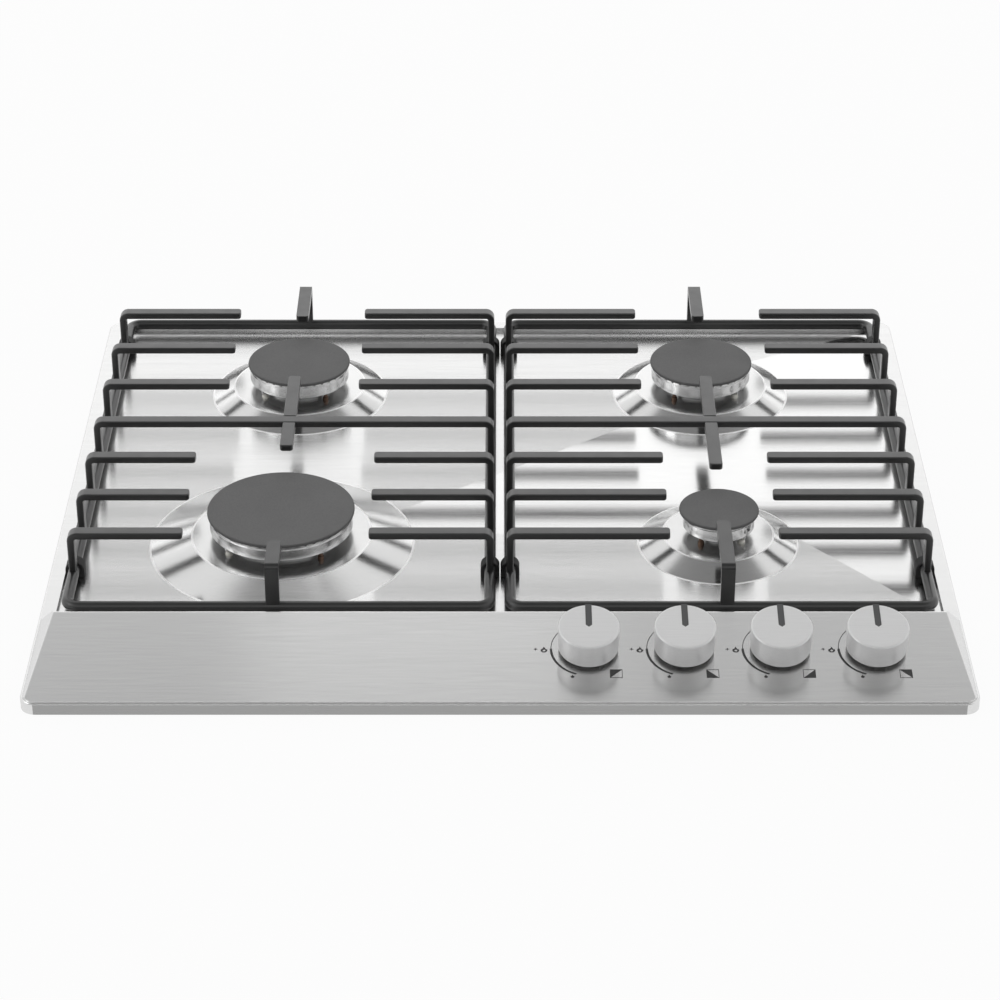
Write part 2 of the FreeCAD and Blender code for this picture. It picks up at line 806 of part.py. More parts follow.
def worktop_clamps():
    # bent steel hooks that reach under the worktop when they are turned out
    clamps = []
    for x, y, side in clamp_places():
        half = clamp_width / 2
        top = -ledge_drop
        plate_low = (x - half, y - clamp_length / 2, top - clamp_sheet)
        plate_high = (x + half, y + clamp_length / 2, top)
        plate = block("ClampPlate", plate_low, plate_high)
        ends = sorted((x + half * side, x + (half - clamp_sheet) * side), key=lambda end: end.value)
        web_low = (ends[0], y - clamp_length / 2, top - clamp_drop)
        web_high = (ends[1], y + clamp_length / 2, top)
        web = block("ClampWeb", web_low, web_high)
        hole = cylinder("ClampBore", screw_radius + screw_play, (x, y, top - 5), 10)
        clamps.append(cut("Clamp", fuse("ClampBent", [plate, web]), [hole]))
    part("worktop_clamps", group("WorktopClamps", clamps))


# ---------------------------------------------------------------- burners

def burner_bowl(burner):
    bore = burner[4] - neck_inset + neck_play
    flange = bore + bowl_flange - neck_play + 0.3
    wall = bore + bowl_wall
    bottom = under_z - bowl_depth
    profile = [
        (0, stem_bottom_z), (stem_radius, stem_bottom_z), (stem_radius, bottom - bowl_floor),
        (wall, bottom - bowl_floor), (wall, under_z - bowl_flange_thickness),
        (flange, under_z - bowl_flange_thickness), (flange, under_z), (bore, under_z),
        (bore, bottom), (stem_boss, bottom), (stem_boss, bottom - jet_well), (0, bottom - jet_well),
    ]
    cup = turned(f"Bowl_{burner[0]}", profile)
    boss = cylinder("BowlBoss", boss_girth, (0, 0, boss_z), stem_boss_reach, 90, X_AXIS)
    seat = bottom - jet_well
    thread_low = (0, 0, seat - jet_thread_length)
    thread = cylinder("BowlThread", jet_thread + screw_fit, thread_low, jet_thread_length + 1)
    way_up = cylinder("BowlWayUp", way_radius, (0, 0, boss_z - way_radius), seat - boss_z)
    way_in = cylinder("BowlWayIn", pipe_bore, (0, 0, boss_z), stem_boss_reach, 90, X_AXIS)
    bored = cut(f"Bored_{burner[0]}", fuse(f"Bossed_{burner[0]}", [cup, boss]), [thread, way_up, way_in])
    x, y = burner_centre(burner)
    part(f"{burner[0]}_bowl", place(bored, x, y, 0))


def injector(burner):
    seat = under_z - bowl_depth - jet_well
    profile = [
        (jet_orifice, seat - jet_thread_length), (jet_thread, seat - jet_thread_length),
        (jet_thread, seat), (jet_radius, seat), (jet_radius, seat + 7), (jet_orifice, seat + 7),
    ]
    x, y = burner_centre(burner)
    return place(turned(f"Injector_{burner[0]}", profile), x, y, 0)


def burner_crown(burner):
    # the flame ring, which stands on the plate and has its spigot in the bowl
    radius = as_size(burner[4])
    neck = radius - neck_inset
    underside = crown_top_z - crown_chamber - crown_floor
    profile = [
        (venturi_bore, surround_z - venturi_drop), (venturi_bore + venturi_wall, surround_z - venturi_drop),
        (venturi_bore + venturi_wall, underside), (neck - neck_wall, underside),
        (neck - neck_wall, surround_z - crown_spigot), (neck, surround_z - crown_spigot),
        (neck, surround_z), (neck + crown_foot, surround_z),
        (neck + crown_foot, surround_z + crown_foot_height), (neck, surround_z + crown_foot_height),
        (neck, underside), (radius - crown_wall, underside),
        (radius - crown_wall, crown_base_z), (radius, crown_base_z),
        (radius, crown_top_z - crown_step_height),
        (radius - crown_step, crown_top_z - crown_step_height),
        (radius - crown_step, crown_top_z), (radius - crown_rim, crown_top_z),
        (radius - crown_rim, crown_top_z - crown_chamber), (venturi_bore, crown_top_z - crown_chamber),
    ]
    name = f"Crown_{burner[0]}"
    body = turned(name, profile)
    doc.recompute()
    whole = body.Shape.Volume
    sketch = sketch_on(body, name + "_port", "XZ_Plane")
    low = crown_top_z - port_height
    half = port_width / 2
    outline(sketch, [(-half, low), (half, low), (half, crown_top_z + 1), (-half, crown_top_z + 1)])
    port = body.newObject("PartDesign::Pocket", name + "_pocket")
    port.Profile = sketch
    port.Reversed = True
    bind(port, Length=radius + 1)
    pattern = body.newObject("PartDesign::PolarPattern", name + "_ports")
    pattern.Originals = [port]
    pattern.Axis = (plane_of(body, "Z_Axis"), [""])
    pattern.Angle = 360
    pattern.Occurrences = burner[7]
    body.Tip = pattern
    doc.recompute()
    if body.Shape.Volume > whole - burner[7]:
        raise ValueError(f"the ports of {name} cut nothing")
    crown = body
    if burner[0] == "front_right":
        low = (burner[4] - crown_rim - 1, notch_width / -2, crown_base_z + 2.6)
        high = (radius + 1, notch_width / 2, crown_top_z + 1)
        gap = place(group("CrownNotch", [block("CrownNotchBlock", low, high)]), 0, 0, 0, -igniter_angle)
        crown = cut("CrownNotched", body, [gap])
    x, y = burner_centre(burner)
    part(f"{burner[0]}_crown", place(crown, x, y, 0))


def burner_cap(burner):
    radius = as_size(burner[3])
    lip = as_size(burner[4]) - crown_rim - 0.4
    profile = [
        (0, crown_top_z), (lip - crown_wall, crown_top_z), (lip - crown_wall, crown_top_z - cap_lip),
        (lip, crown_top_z - cap_lip), (lip, crown_top_z), (radius, crown_top_z),
        (radius, cap_top_z), (0, cap_top_z),
    ]
    name = f"Cap_{burner[0]}"
    body = turned(name, profile)

    def on_edge(edge):
        box = edge.BoundBox
        return box.XLength > 2 * radius.value - 0.1 and box.ZLength < 0.01

    doc.recompute()
    round_edges(body, name + "_round", body.Tip, cap_round, on_edge)
    x, y = burner_centre(burner)
    part(f"{burner[0]}_cap", place(body, x, y, 0))


def igniter(burner):
    x, y = igniter_place(burner, igniter_angle)
    top = surround_z + igniter_rise
    core = cylinder("IgniterCore", igniter_radius, (x, y, top - igniter_length), igniter_length)
    shoulder_low = (x, y, under_z - bowl_flange_thickness)
    shoulder = cylinder("IgniterShoulder", igniter_radius + igniter_shoulder, shoulder_low,
                        bowl_flange_thickness)
    return fuse(f"Igniter_{burner[0]}", [core, shoulder])


def igniter_wire(burner):
    # a hooked wire that points at the flame ring's edge
    x, y = igniter_place(burner, igniter_angle)
    post = cylinder("WirePost", wire_radius, (0, 0, 0), wire_rise)
    hook = cylinder("WireHook", wire_radius, (0, 0, wire_rise - wire_radius), wire_hook, 90, Y_AXIS)
    outward = -igniter_angle if burner[1] > 0 else 180 + igniter_angle
    joined = fuse(f"Wire_{burner[0]}", [post, hook])
    return place(joined, x, y, surround_z + igniter_rise, outward)


def flame_probe(burner):
    x, y = probe_place(burner)
    top = surround_z + probe_rise
    rod = cylinder("ProbeRod", probe_radius, (x, y, top - probe_length), probe_length)
    shoulder_low = (x, y, under_z - bowl_flange_thickness)
    shoulder = cylinder("ProbeShoulder", probe_radius + 1, shoulder_low, bowl_flange_thickness)
    return fuse(f"Probe_{burner[0]}", [rod, shoulder])


def all_burners():
    for burner in burners:
        burner_bowl(burner)
        burner_crown(burner)
        burner_cap(burner)
    part("injectors", group("Injectors", [injector(burner) for burner in burners]))
    part("spark_plugs", group("SparkPlugs", [igniter(burner) for burner in burners]))
    part("spark_wires", group("SparkWires", [igniter_wire(burner) for burner in burners]))
    part("flame_probes", group("FlameProbes", [flame_probe(burner) for burner in burners]))


# ---------------------------------------------------------------- pan supports

def bent_finger(name, reach, drop, bend):
    # an angle of flat bar: its leg hangs at x = 0 and its top runs to +x
    half = finger_thickness / 2
    corners = [
        (-half, -drop), (half, -drop), (half, -finger_thickness), (reach, -finger_thickness),
        (reach, 0), (-half, 0),
    ]
    body = barred(name, corners, finger_width)
    pad = body.Group[-1]
    bent = round_edges(body, name + "_bend", pad, bend, runs_across(-half, 0))
    inner = round_edges(body, name + "_inner", bent, finger_inner_bend,
                        runs_across(half, -finger_thickness))
    long_edge = finger_width.value / 2 - 0.01

    def on_top_side(edge):
        middle = edge.CenterOfMass
        return abs(middle.y) > long_edge and middle.x < reach.value - 0.01 and \
            middle.z > -drop.value + 0.01

    round_edges(body, name + "_sides", inner, finger_edge, on_top_side)
    return body


def side_fingers(side, name, centre_reach, rows, drop):
    # pairs of fingers that face each other over a row of burners
    reach = burner_offset_x - centre_reach
    made = []
    for index, y in enumerate(rows):
        outer = bent_finger(f"{name}_outer_{index}", grate_outer_x - burner_offset_x - centre_reach,
                            drop, finger_bend)
        inner = bent_finger(f"{name}_inner_{index}", reach - grate_gap, drop, finger_bend)
        made.append(place(outer, grate_outer_x * side, y, finger_z, 180 if side > 0 else 0))
        made.append(place(inner, grate_gap * side, y, finger_z, 0 if side > 0 else 180))
    return made


def grate_rods(side):
    # the straight lengths and the quarter bends of one closed ring of round rod, butt to butt
    word = "Right" if side > 0 else "Left"
    middle_x = (grate_outer_x + grate_gap) / 2 * side
    half_x = (grate_outer_x - grate_gap) / 2
    middle_y = (grate_rear_y + grate_front_y) / 2
    half_y = (grate_rear_y - grate_front_y) / 2
    reach_x = half_x - rod_corner
    reach_y = half_y - rod_corner
    lengths = []
    for end in (-1, 1):
        across = (middle_x - reach_x, middle_y + half_y * end, rod_z)
        along = (middle_x + half_x * end, middle_y - reach_y, rod_z)
        lengths.append(cylinder(f"RodAcross_{word}", rod_radius, across, reach_x * 2, 90, Y_AXIS))
        lengths.append(cylinder(f"RodAlong_{word}", rod_radius, along, reach_y * 2, -90, X_AXIS))
    bends = []
    for quarter, (side_x, side_y) in enumerate([(1, 1), (-1, 1), (-1, -1), (1, -1)]):
        bend = doc.addObject("Part::Torus", f"RodBend_{word}")
        bind(bend, Radius1=rod_corner, Radius2=rod_radius)
        bend.Angle3 = 90
        spot = (middle_x + reach_x * side_x, middle_y + reach_y * side_y, rod_z)
        bends.append(place(bend, *spot, 90 * quarter))
    return lengths, bends


def straight_bar(name, low, high):
    # a butt-welded piece of the same flat bar, with its long top edges rounded
    piece = block(name, low, high)
    doc.recompute()
    along_y = high[1].value - low[1].value
    edges = []
    for number, edge in enumerate(piece.Shape.Edges, 1):
        if abs(edge.Length - along_y) < 0.01:
            edges.append((number, finger_edge.value, finger_edge.value))
    soft = doc.addObject("Part::Fillet", name + "_soft")
    soft.Base = piece
    soft.Edges = edges
    return soft


def cross_bar(side, drop):
    # the full-width bar that stands on both side rods between the burners
    half = finger_thickness / 2
    half_span = (grate_outer_x - grate_gap) / 2
    name = "CrossBar" + ("Right" if side > 0 else "Left")
    corners = [
        (-half_span - half, -drop), (-half_span + half, -drop),
        (-half_span + half, -finger_thickness), (half_span - half, -finger_thickness),
        (half_span - half, -drop), (half_span + half, -drop),
        (half_span + half, 0), (-half_span - half, 0),
    ]
    body = barred(name, corners, finger_width)
    pad = body.Group[-1]
    left = round_edges(body, name + "_left", pad, finger_bend, runs_across(-half_span - half, 0))
    round_edges(body, name + "_right", left, finger_bend, runs_across(half_span + half, 0))
    return place(body, (grate_outer_x + grate_gap) / 2 * side, bar_y, finger_z)


def pan_support(side):
    word = "right" if side > 0 else "left"
    lengths, bends = grate_rods(side)
    frame = group(f"GrateRods_{word}", lengths)
    drop = finger_z - rod_z
    rear_rows = [bar_y + rear_pitch * step for step in (3, 2, 1)]
    front_rows = [bar_y - front_pitch * step for step in (1, 2, 3)]
    front_reach = front_right_tip_reach if side > 0 else front_left_tip_reach
    centre_reach = front_right_centre_reach if side > 0 else front_left_centre_reach
    rear = side_fingers(side, f"RearFinger_{word}", rear_tip_reach, rear_rows, drop)
    front = side_fingers(side, f"FrontFinger_{word}", front_reach, front_rows, drop)

    bar_low_z = finger_z - finger_thickness
    half_bar = finger_width / 2
    middle_x = burner_offset_x * side
    back_low = (middle_x - half_bar, bar_y + half_bar, bar_low_z)
    back_high = (middle_x + half_bar, rear_burner_y - rear_centre_reach, finger_z)
    fore_low = (middle_x - half_bar, front_burner_y + centre_reach, bar_low_z)
    fore_high = (middle_x + half_bar, bar_y - half_bar, finger_z)
    back = straight_bar(f"CrossRear_{word}", back_low, back_high)
    fore = straight_bar(f"CrossFront_{word}", fore_low, fore_high)
    rear_reach = grate_rear_y - rear_burner_y - rear_centre_reach
    rear_centre = bent_finger(f"RearCentre_{word}", rear_reach, drop, centre_bend)
    place(rear_centre, middle_x, grate_rear_y, finger_z, -90)
    fore_reach = front_burner_y - centre_reach - grate_front_y
    front_centre = bent_finger(f"FrontCentre_{word}", fore_reach, drop, centre_bend)
    place(front_centre, middle_x, grate_front_y, finger_z, 90)
    centres = group(f"Centres_{word}", [cross_bar(side, drop), back, fore, rear_centre, front_centre])

    rear_group = group(f"RearFingers_{word}", rear)
    front_group = group(f"FrontFingers_{word}", front)
    feet = []
    behind = (finger_width + foot_length) / 2 + foot_play
    for y in (rear_rows[0] + behind, front_rows[2] + behind):
        for x in (grate_outer_x * side, grate_gap * side):
            arch = foot_width / 2
            arch_z = rod_z + rod_radius + foot_crown - arch
            low = (x - arch, y - foot_length / 2, hob_z)
            base = block("FootBase", low, (x + arch, y + foot_length / 2, arch_z))
            top = cylinder("FootArch", arch, (x, y + foot_length / 2, arch_z), foot_length, 90, X_AXIS)
            feet.append(fuse("Foot", [base, top]))
    feet_group = group(f"FeetWhole_{word}", feet)

    part(f"{word}_grate_frame", group(f"GrateRing_{word}", lengths + bends))
    part(f"{word}_grate_rear_fingers", cut(f"RearSeated_{word}", rear_group, [frame]))
    part(f"{word}_grate_front_fingers", cut(f"FrontSeated_{word}", front_group, [frame]))
    part(f"{word}_grate_centre_bars", cut(f"CentreSeated_{word}", centres, [frame]))
    below = block(f"FeetBelow_{word}", (-half_width, front_y, 0), (half_width, rear_y, hob_z))
    clips = cut(f"FeetClipped_{word}", feet_group, [frame, rear_group, front_group, below])
    part(f"{word}_grate_feet", clips)


# ---------------------------------------------------------------- knobs and taps

def knob(number, x):
    top = knob_gap + knob_height
    inside = knob_radius - knob_wall
    bore = spindle_radius + spindle_fit
    profile = [
        (bore, knob_gap + knob_hub_lift), (knob_hub, knob_gap + knob_hub_lift),
        (knob_hub, top - knob_roof), (inside, top - knob_roof), (inside, knob_gap),
        (knob_radius - knob_taper, knob_gap), (knob_radius, top - knob_chamfer),
        (knob_radius - knob_chamfer, top), (0, top), (0, top - knob_roof - hub_roof),
        (bore, top - knob_roof - hub_roof),
    ]
    body = turned(f"Knob_{number}", profile)
    half = pointer_width / 2
    groove = block("PointerGroove", (-half, 0, top - pointer_depth), (half, knob_radius + 1, top + 1))
    part(f"knob_{number}", on_tilt(cut(f"KnobGrooved_{number}", body, [groove]), x))


def spindle(number, x):
    collar_z = plug_top_z() + spring_length
    shaft_top = knob_gap + knob_height - knob_roof - hub_roof
    collar_top = collar_z + spindle_collar_height
    shaft = cylinder("SpindleShaft", spindle_radius, (0, 0, collar_z), shaft_top - collar_z)
    collar = cylinder("SpindleCollar", spindle_collar, (0, 0, collar_z), collar_top - collar_z)
    half = tongue_width / 2
    low = (-half, tongue_thickness / -2, collar_z - tongue_length)
    tongue = block("SpindleTongue", low, (half, tongue_thickness / 2, collar_z + 0.5))
    part(f"spindle_{number}", on_tilt(fuse(f"Spindle_{number}", [shaft, collar, tongue]), x))


def plug_top_z():
    # the plug's top inside the tap, along the panel's normal
    return plug_length + tap_floor - tap_top - tap_neck_length - tap_length + 0.5


def tap_plug(number, x):
    top = plug_top_z()
    plug = cylinder("PlugBody", plug_radius, (0, 0, top - plug_length), plug_length)
    half = tongue_width / 2 + tongue_play
    depth = tongue_length - spring_length + knob_push + 0.6
    low = (-half, tongue_thickness / -2 - tongue_play, top - depth)
    slot = block("PlugSlot", low, (half, tongue_thickness / 2 + tongue_play, top + 1))
    part(f"tap_plug_{number}", on_tilt(cut(f"Plug_{number}", plug, [slot]), x))


def tap_spring(number, x):
    top = plug_top_z()
    outer = cylinder("SpringOuter", spring_outer, (0, 0, top), spring_length)
    inner = cylinder("SpringInner", spring_outer - spring_wall, (0, 0, top), spring_length)
    part(f"tap_spring_{number}", on_tilt(cut(f"Spring_{number}", outer, [inner]), x))


def tap_bodies():
    taps = []
    for x in knob_places():
        neck_low = -tap_top - tap_neck_length
        low = neck_low - tap_length
        neck = cylinder("TapNeck", tap_neck, (0, 0, neck_low), tap_neck_length)
        barrel = cylinder("TapBarrel", tap_radius, (0, 0, low), tap_length)
        shaft_way = cylinder("TapShaftWay", spindle_radius + hole_play, (0, 0, neck_low - 1),
                             tap_neck_length + 2)
        room = cylinder("TapRoom", plug_radius + plug_fit, (0, 0, low + tap_floor),
                        tap_length - tap_floor - tap_roof + 4)
        solid = on_tilt(fuse("TapSolid", [neck, barrel]), x)
        ways = on_tilt(group("TapWays", [shaft_way, room]), x)
        inlet_low = (x, rail_y, -rail_drop)
        reach = knob_setback - rail_setback + 5
        inlet = cylinder("TapInlet", stub_radius, inlet_low, reach, -90, X_AXIS)
        outlet_low = (x, knob_y + tap_radius, -outlet_drop)
        outlet_reach = outlet_setback - knob_setback - tap_radius
        outlet = cylinder("TapOutlet", stub_radius, outlet_low, outlet_reach, -90, X_AXIS)
        rail = cylinder("RailSpace", rail_radius, (x - 20, rail_y, -rail_drop), 40, 90, Y_AXIS)
        taps.append(cut("Tap", fuse("TapJoined", [solid, inlet, outlet]), [ways, rail]))
    part("tap_bodies", group("TapBodies", taps))


def gas_manifold():
    start = first_knob - 18
    end = first_knob + knob_pitch * 3 + rail_end
    low = (start, rail_y, -rail_drop)
    tube = cylinder("RailTube", rail_radius, low, end - start, 90, Y_AXIS)
    bore_low = (start + 2, rail_y, -rail_drop)
    bore = cylinder("RailBore", rail_radius - rail_wall, bore_low, end - start - 4, 90, Y_AXIS)
    part("gas_manifold", cut("GasManifold", tube, [bore]))


def tap_bracket():
    # a tilted strip that carries the tap necks, on two legs
    top = bracket_thickness - tap_top - tap_neck_length
    start = first_knob - 20
    end = first_knob + knob_pitch * 3 + 12
    low = (start, bracket_depth / -2, top - bracket_thickness)
    strip = block("BracketStrip", low, (end, bracket_depth / 2, top))
    pieces = [strip]
    for index in (0, 2):
        x = first_knob + knob_pitch * (index + 0.5)
        leg_low = (x - bracket_thickness / 2, bracket_end - bracket_depth / 2 - 8, -80)
        leg_high = (x + bracket_thickness / 2, bracket_depth / 2, top)
        pieces.append(block("BracketLeg", leg_low, leg_high))
    holes = []
    for x in knob_places():
        holes.append(cylinder("BracketHole", tap_neck + screw_fit, (x, 0, top - 5), 10))
    whole = cut("BracketDrilled", fuse("BracketWhole", pieces), holes)
    place(whole, 0, knob_y, knob_z, panel_tilt, X_AXIS)
    below = block("BracketBelow", (-half_width, front_y, -200), (half_width, rear_y, tub_floor_z))
    part("tap_bracket", cut("TapBracket", whole, [below]))


def spindle_seals():
    seals = []
    seal_bore = spindle_radius + seal_play
    for index, x in enumerate(knob_places()):
        under = -sheet_metal
        profile = [
            (seal_bore, under - seal_thickness), (seal_flange, under - seal_thickness),
            (seal_flange, under), (seal_hole - 0.1, under), (seal_hole - 0.1, seal_lip),
            (seal_bore, seal_lip),
        ]
        seals.append(on_tilt(turned(f"Seal_{index + 1}", profile), x))
    part("spindle_seals", group("SpindleSeals", seals))


def ignition_switches():
    # the small switches that the pushed knobs close, on the bracket beside each spindle
    boxes = []
    for x in knob_places():
        base = bracket_thickness - tap_top - tap_neck_length
        low = (switch_gap, switch_depth / -2, base)
        high = (switch_gap + switch_width, switch_depth / 2, base + 5)
        body = block("SwitchBody", low, high)
        lever = block("SwitchLever", (switch_gap + 2, -1.5, base + 5), (switch_gap + 5, 1.5, base + 6.2))
        boxes.append(on_tilt(fuse("Switch", [body, lever]), x))
    part("ignition_switches", group("IgnitionSwitches", boxes))


# ---------------------------------------------------------------- pipes and wiring

def supply_pipes():
    knobs = knob_places()
    start_z = -outlet_drop
    homes = {burner[0]: burner_centre(burner) for burner in burners}
    boss_end = {name: place_of[1] - stem_boss_reach for name, place_of in homes.items()}
    rl_x = homes["rear_left"][0]
    fl_x = homes["front_left"][0]
    fr_x = homes["front_right"][0]
    rr_x = homes["rear_right"][0]
    side_step = 26
    paths = {
        "rear_left": [
            (knobs[0], outlet_y, start_z), (knobs[0], boss_end["rear_left"] - side_step, start_z),
            (rl_x, boss_end["rear_left"] - side_step, boss_z), (rl_x, boss_end["rear_left"], boss_z),
        ],
        "front_left": [
            (knobs[1], outlet_y, start_z), (knobs[1], outlet_y + 16, start_z),
            (knobs[1] - 30, outlet_y + 34, -pipe_dip), (fl_x + 30, outlet_y + 34, -pipe_dip),
            (fl_x, outlet_y + 50, boss_z), (fl_x, boss_end["front_left"], boss_z),
        ],
        "front_right": [
            (knobs[2], outlet_y, start_z), (knobs[2], outlet_y + 30, start_z),
            (fr_x, boss_end["front_right"] - side_step, boss_z), (fr_x, boss_end["front_right"], boss_z),
        ],
        "rear_right": [
            (knobs[3], outlet_y, start_z), (knobs[3], boss_end["rear_right"] - side_step, start_z),
            (rr_x, boss_end["rear_right"] - side_step, boss_z), (rr_x, boss_end["rear_right"], boss_z),
        ],
    }
    pipes = [
        route(f"Pipe_{name}", points, pipe_radius, pipe_bend, pipe_bore)
        for name, points in paths.items()
    ]
    feed_x = tub_x - tray_sheet - feed_radius - 0.6
    rail_tip = knobs[3] + rail_end
    inlet_y = rear_y - inlet_setback
    pipes.append(route("FeedPipe", [
        (rail_tip, rail_y, -rail_drop), (feed_x, rail_y, -rail_drop),
        (feed_x, inlet_y - 70, -rail_drop), (feed_x, inlet_y - 40, -inlet_drop),
        (feed_x, inlet_y, -inlet_drop), (ledge_x - inlet_body - 0.5, inlet_y, -inlet_drop),
    ], feed_radius, feed_bend, feed_radius - rail_wall))
    part("supply_pipes", group("SupplyPipes", pipes))


def inlet_elbow():
    # the elbow of the gas inlet, whose threaded tail points down behind the tray
    x = ledge_x
    y = rear_y - inlet_setback
    under = -ledge_drop
    nut_low = under - inlet_nut_height
    body = cylinder("InletBody", inlet_body, (x, y, under), ledge_drop + inlet_top)
    nut = doc.addObject("Part::Prism", "InletNut")
    nut.Polygon = 6
    bind(nut, Circumradius=inlet_nut, Height=inlet_nut_height)
    place(nut, x, y, nut_low)
    thread = cylinder("InletThread", inlet_thread, (x, y, nut_low - inlet_thread_length),
                      inlet_thread_length)
    stub_low = (x - inlet_body - 0.5, y, -inlet_drop)
    stub = cylinder("InletStub", feed_radius + 1.5, stub_low, inlet_body, 90, Y_AXIS)
    way_low = (x, y, nut_low - inlet_thread_length - 1)
    way = cylinder("InletWay", inlet_bore, way_low, ledge_drop + inlet_thread_length)
    side_low = (x - inlet_body - 2, y, -inlet_drop)
    side_way = cylinder("InletSideWay", feed_radius - rail_wall, side_low, inlet_body + 2, 90, Y_AXIS)
    solid = fuse("InletSolid", [body, nut, thread, stub])
    part("inlet_elbow", cut("InletElbow", solid, [way, side_way]))


def cable_gland():
    # the gland that the mains lead would pass through
    x = -ledge_x
    y = rear_y - inlet_setback
    under = -ledge_drop
    tail = cylinder("GlandTail", gland_radius, (x, y, under), gland_height)
    nut = doc.addObject("Part::Prism", "GlandNut")
    nut.Polygon = 6
    bind(nut, Circumradius=gland_nut, Height=inlet_nut_height)
    place(nut, x, y, under - inlet_nut_height)
    dome_low = (x, y, under - gland_height)
    dome = cylinder("GlandDome", gland_radius - 1.5, dome_low, gland_height)
    bore = cylinder("GlandBore", gland_bore, (x, y, under - gland_height - 1), gland_height * 2 + 2)
    part("cable_gland", cut("CableGland", fuse("GlandSolid", [tail, nut, dome]), [bore]))


def electrics():
    low = (-tray_x + tray_sheet + 1, rear_y - terminal_setback, ledge_floor_z)
    high = (low[0] + terminal_width, low[1] + terminal_length, ledge_floor_z + terminal_height)
    pieces = [block("TerminalBase", low, high)]
    slots = []
    for index in range(3):
        y = low[1] + terminal_length * (index + 0.5) / 3
        slots.append(cylinder("TerminalWell", 2.5, (low[0] + terminal_width / 2, y, high[2] - 5), 6))
    part("terminal_block", cut("TerminalBlock", pieces[0], slots))
    low = (-spark_box_x, front_y + spark_box_setback, tub_floor_z)
    high = (low[0] + spark_box_length, low[1] + spark_box_width, tub_floor_z + spark_box_height)
    part("spark_generator", block("SparkGenerator", low, high))


def spark_leads():
    box_x = -spark_box_x + spark_box_length / 2
    box_y = front_y + spark_box_setback + spark_box_width
    plug_bottom = surround_z + igniter_rise - igniter_length
    ends = {burner[0]: igniter_place(burner, igniter_angle) for burner in burners}
    leads = []
    front_left = ends["front_left"]
    rear_left = ends["rear_left"]
    front_right = ends["front_right"]
    rear_right = ends["rear_right"]
    lane = box_y + 16
    far_lane = box_y + 9
    outer_x = first_knob + knob_pitch * 2.5
    runs = [
        [(front_left[0], box_y, lead_z), (*front_left, lead_z), (*front_left, plug_bottom)],
        [(box_x + 5, box_y, lead_z), (box_x + 5, bar_y, lead_z),
         (*rear_left, lead_z), (*rear_left, plug_bottom)],
        [(box_x + 14, box_y, lead_z), (box_x + 14, lane, lead_z), (front_right[0], lane, lead_z),
         (*front_right, lead_z), (*front_right, plug_bottom)],
        [(box_x + 24, box_y, lead_z), (box_x + 24, far_lane, lead_z), (outer_x, far_lane, lead_z),
         (outer_x, rear_right[1], lead_z), (*rear_right, lead_z), (*rear_right, plug_bottom)],
    ]
    for index, points in enumerate(runs):
        leads.append(route(f"SparkLead_{index + 1}", points, lead_radius, lead_bend))
    part("spark_leads", group("SparkLeads", leads))


# ---------------------------------------------------------------- the whole cooktop

top_plate()
rim_seal()
base_tray()
screws()
worktop_clamps()
all_burners()
pan_support(-1)
pan_support(1)
for number, x in enumerate(knob_places(), 1):
    knob(number, x)
    spindle(number, x)
    tap_plug(number, x)
    tap_spring(number, x)
tap_bodies()
gas_manifold()
tap_bracket()
spindle_seals()
ignition_switches()
supply_pipes()
inlet_elbow()
cable_gland()
electrics()
spark_leads()
doc.recompute()

for feature in doc.Objects:
    if "Invalid" in feature.State or "Error" in feature.State:
        raise ValueError(f"{feature.Name} failed: {feature.State}")
for feature in parts:
    if feature.Shape.isNull() or not feature.Shape.isValid():
        raise ValueError(f"{feature.Label} has no valid shape")

os.makedirs("parts", exist_ok=True)
for feature in parts:
    feature.Shape.exportStep(f"parts/{feature.Label}.step")
print(f"{len(parts)} sub-parts written")
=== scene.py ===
import math

import bmesh
import bpy
from mathutils import Matrix, Vector


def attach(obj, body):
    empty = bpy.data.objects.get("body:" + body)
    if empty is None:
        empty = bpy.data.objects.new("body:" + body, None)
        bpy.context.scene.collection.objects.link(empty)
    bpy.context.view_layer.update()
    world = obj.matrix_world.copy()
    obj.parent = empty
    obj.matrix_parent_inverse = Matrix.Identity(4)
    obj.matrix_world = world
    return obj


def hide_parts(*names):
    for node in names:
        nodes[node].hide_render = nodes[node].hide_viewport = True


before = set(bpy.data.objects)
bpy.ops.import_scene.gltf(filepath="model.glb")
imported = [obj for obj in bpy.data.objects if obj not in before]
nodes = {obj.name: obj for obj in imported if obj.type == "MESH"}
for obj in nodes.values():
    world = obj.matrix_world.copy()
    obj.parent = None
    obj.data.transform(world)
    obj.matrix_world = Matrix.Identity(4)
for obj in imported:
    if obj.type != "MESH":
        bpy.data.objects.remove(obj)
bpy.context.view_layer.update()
mm = 0.001
turn = math.pi * 2
mergeReach = 2e-6  # metres
print("frame loaded:", len(nodes), "nodes")


# helpers for shapes

def lift(points):
    return [Vector(p) * mm for p in points]


def chain(bm, points):
    # an open line of edges, the start of a spin
    verts = [bm.verts.new(p) for p in lift(points)]
    return [bm.edges.new(pair) for pair in zip(verts, verts[1:])]


def loopEnds(edges):
    return list({v for e in edges for v in e.verts})


def flatLoop(bm, width, height, place):
    # a rectangle of four edges, the start of a bar
    made = bmesh.ops.create_grid(bm, x_segments=1, y_segments=1, size=0.5)["verts"]
    bmesh.ops.scale(bm, verts=made, vec=(width * mm, height * mm, 1))
    bmesh.ops.transform(bm, verts=made, matrix=place)
    face = made[0].link_faces[0]
    edges = list(face.edges)
    bmesh.ops.delete(bm, geom=[face], context="FACES_ONLY")
    return edges


def roundLoop(bm, radius, segments, place):
    made = bmesh.ops.create_circle(bm, segments=segments, radius=radius * mm, matrix=place)["verts"]
    return list({e for v in made for e in v.link_edges})


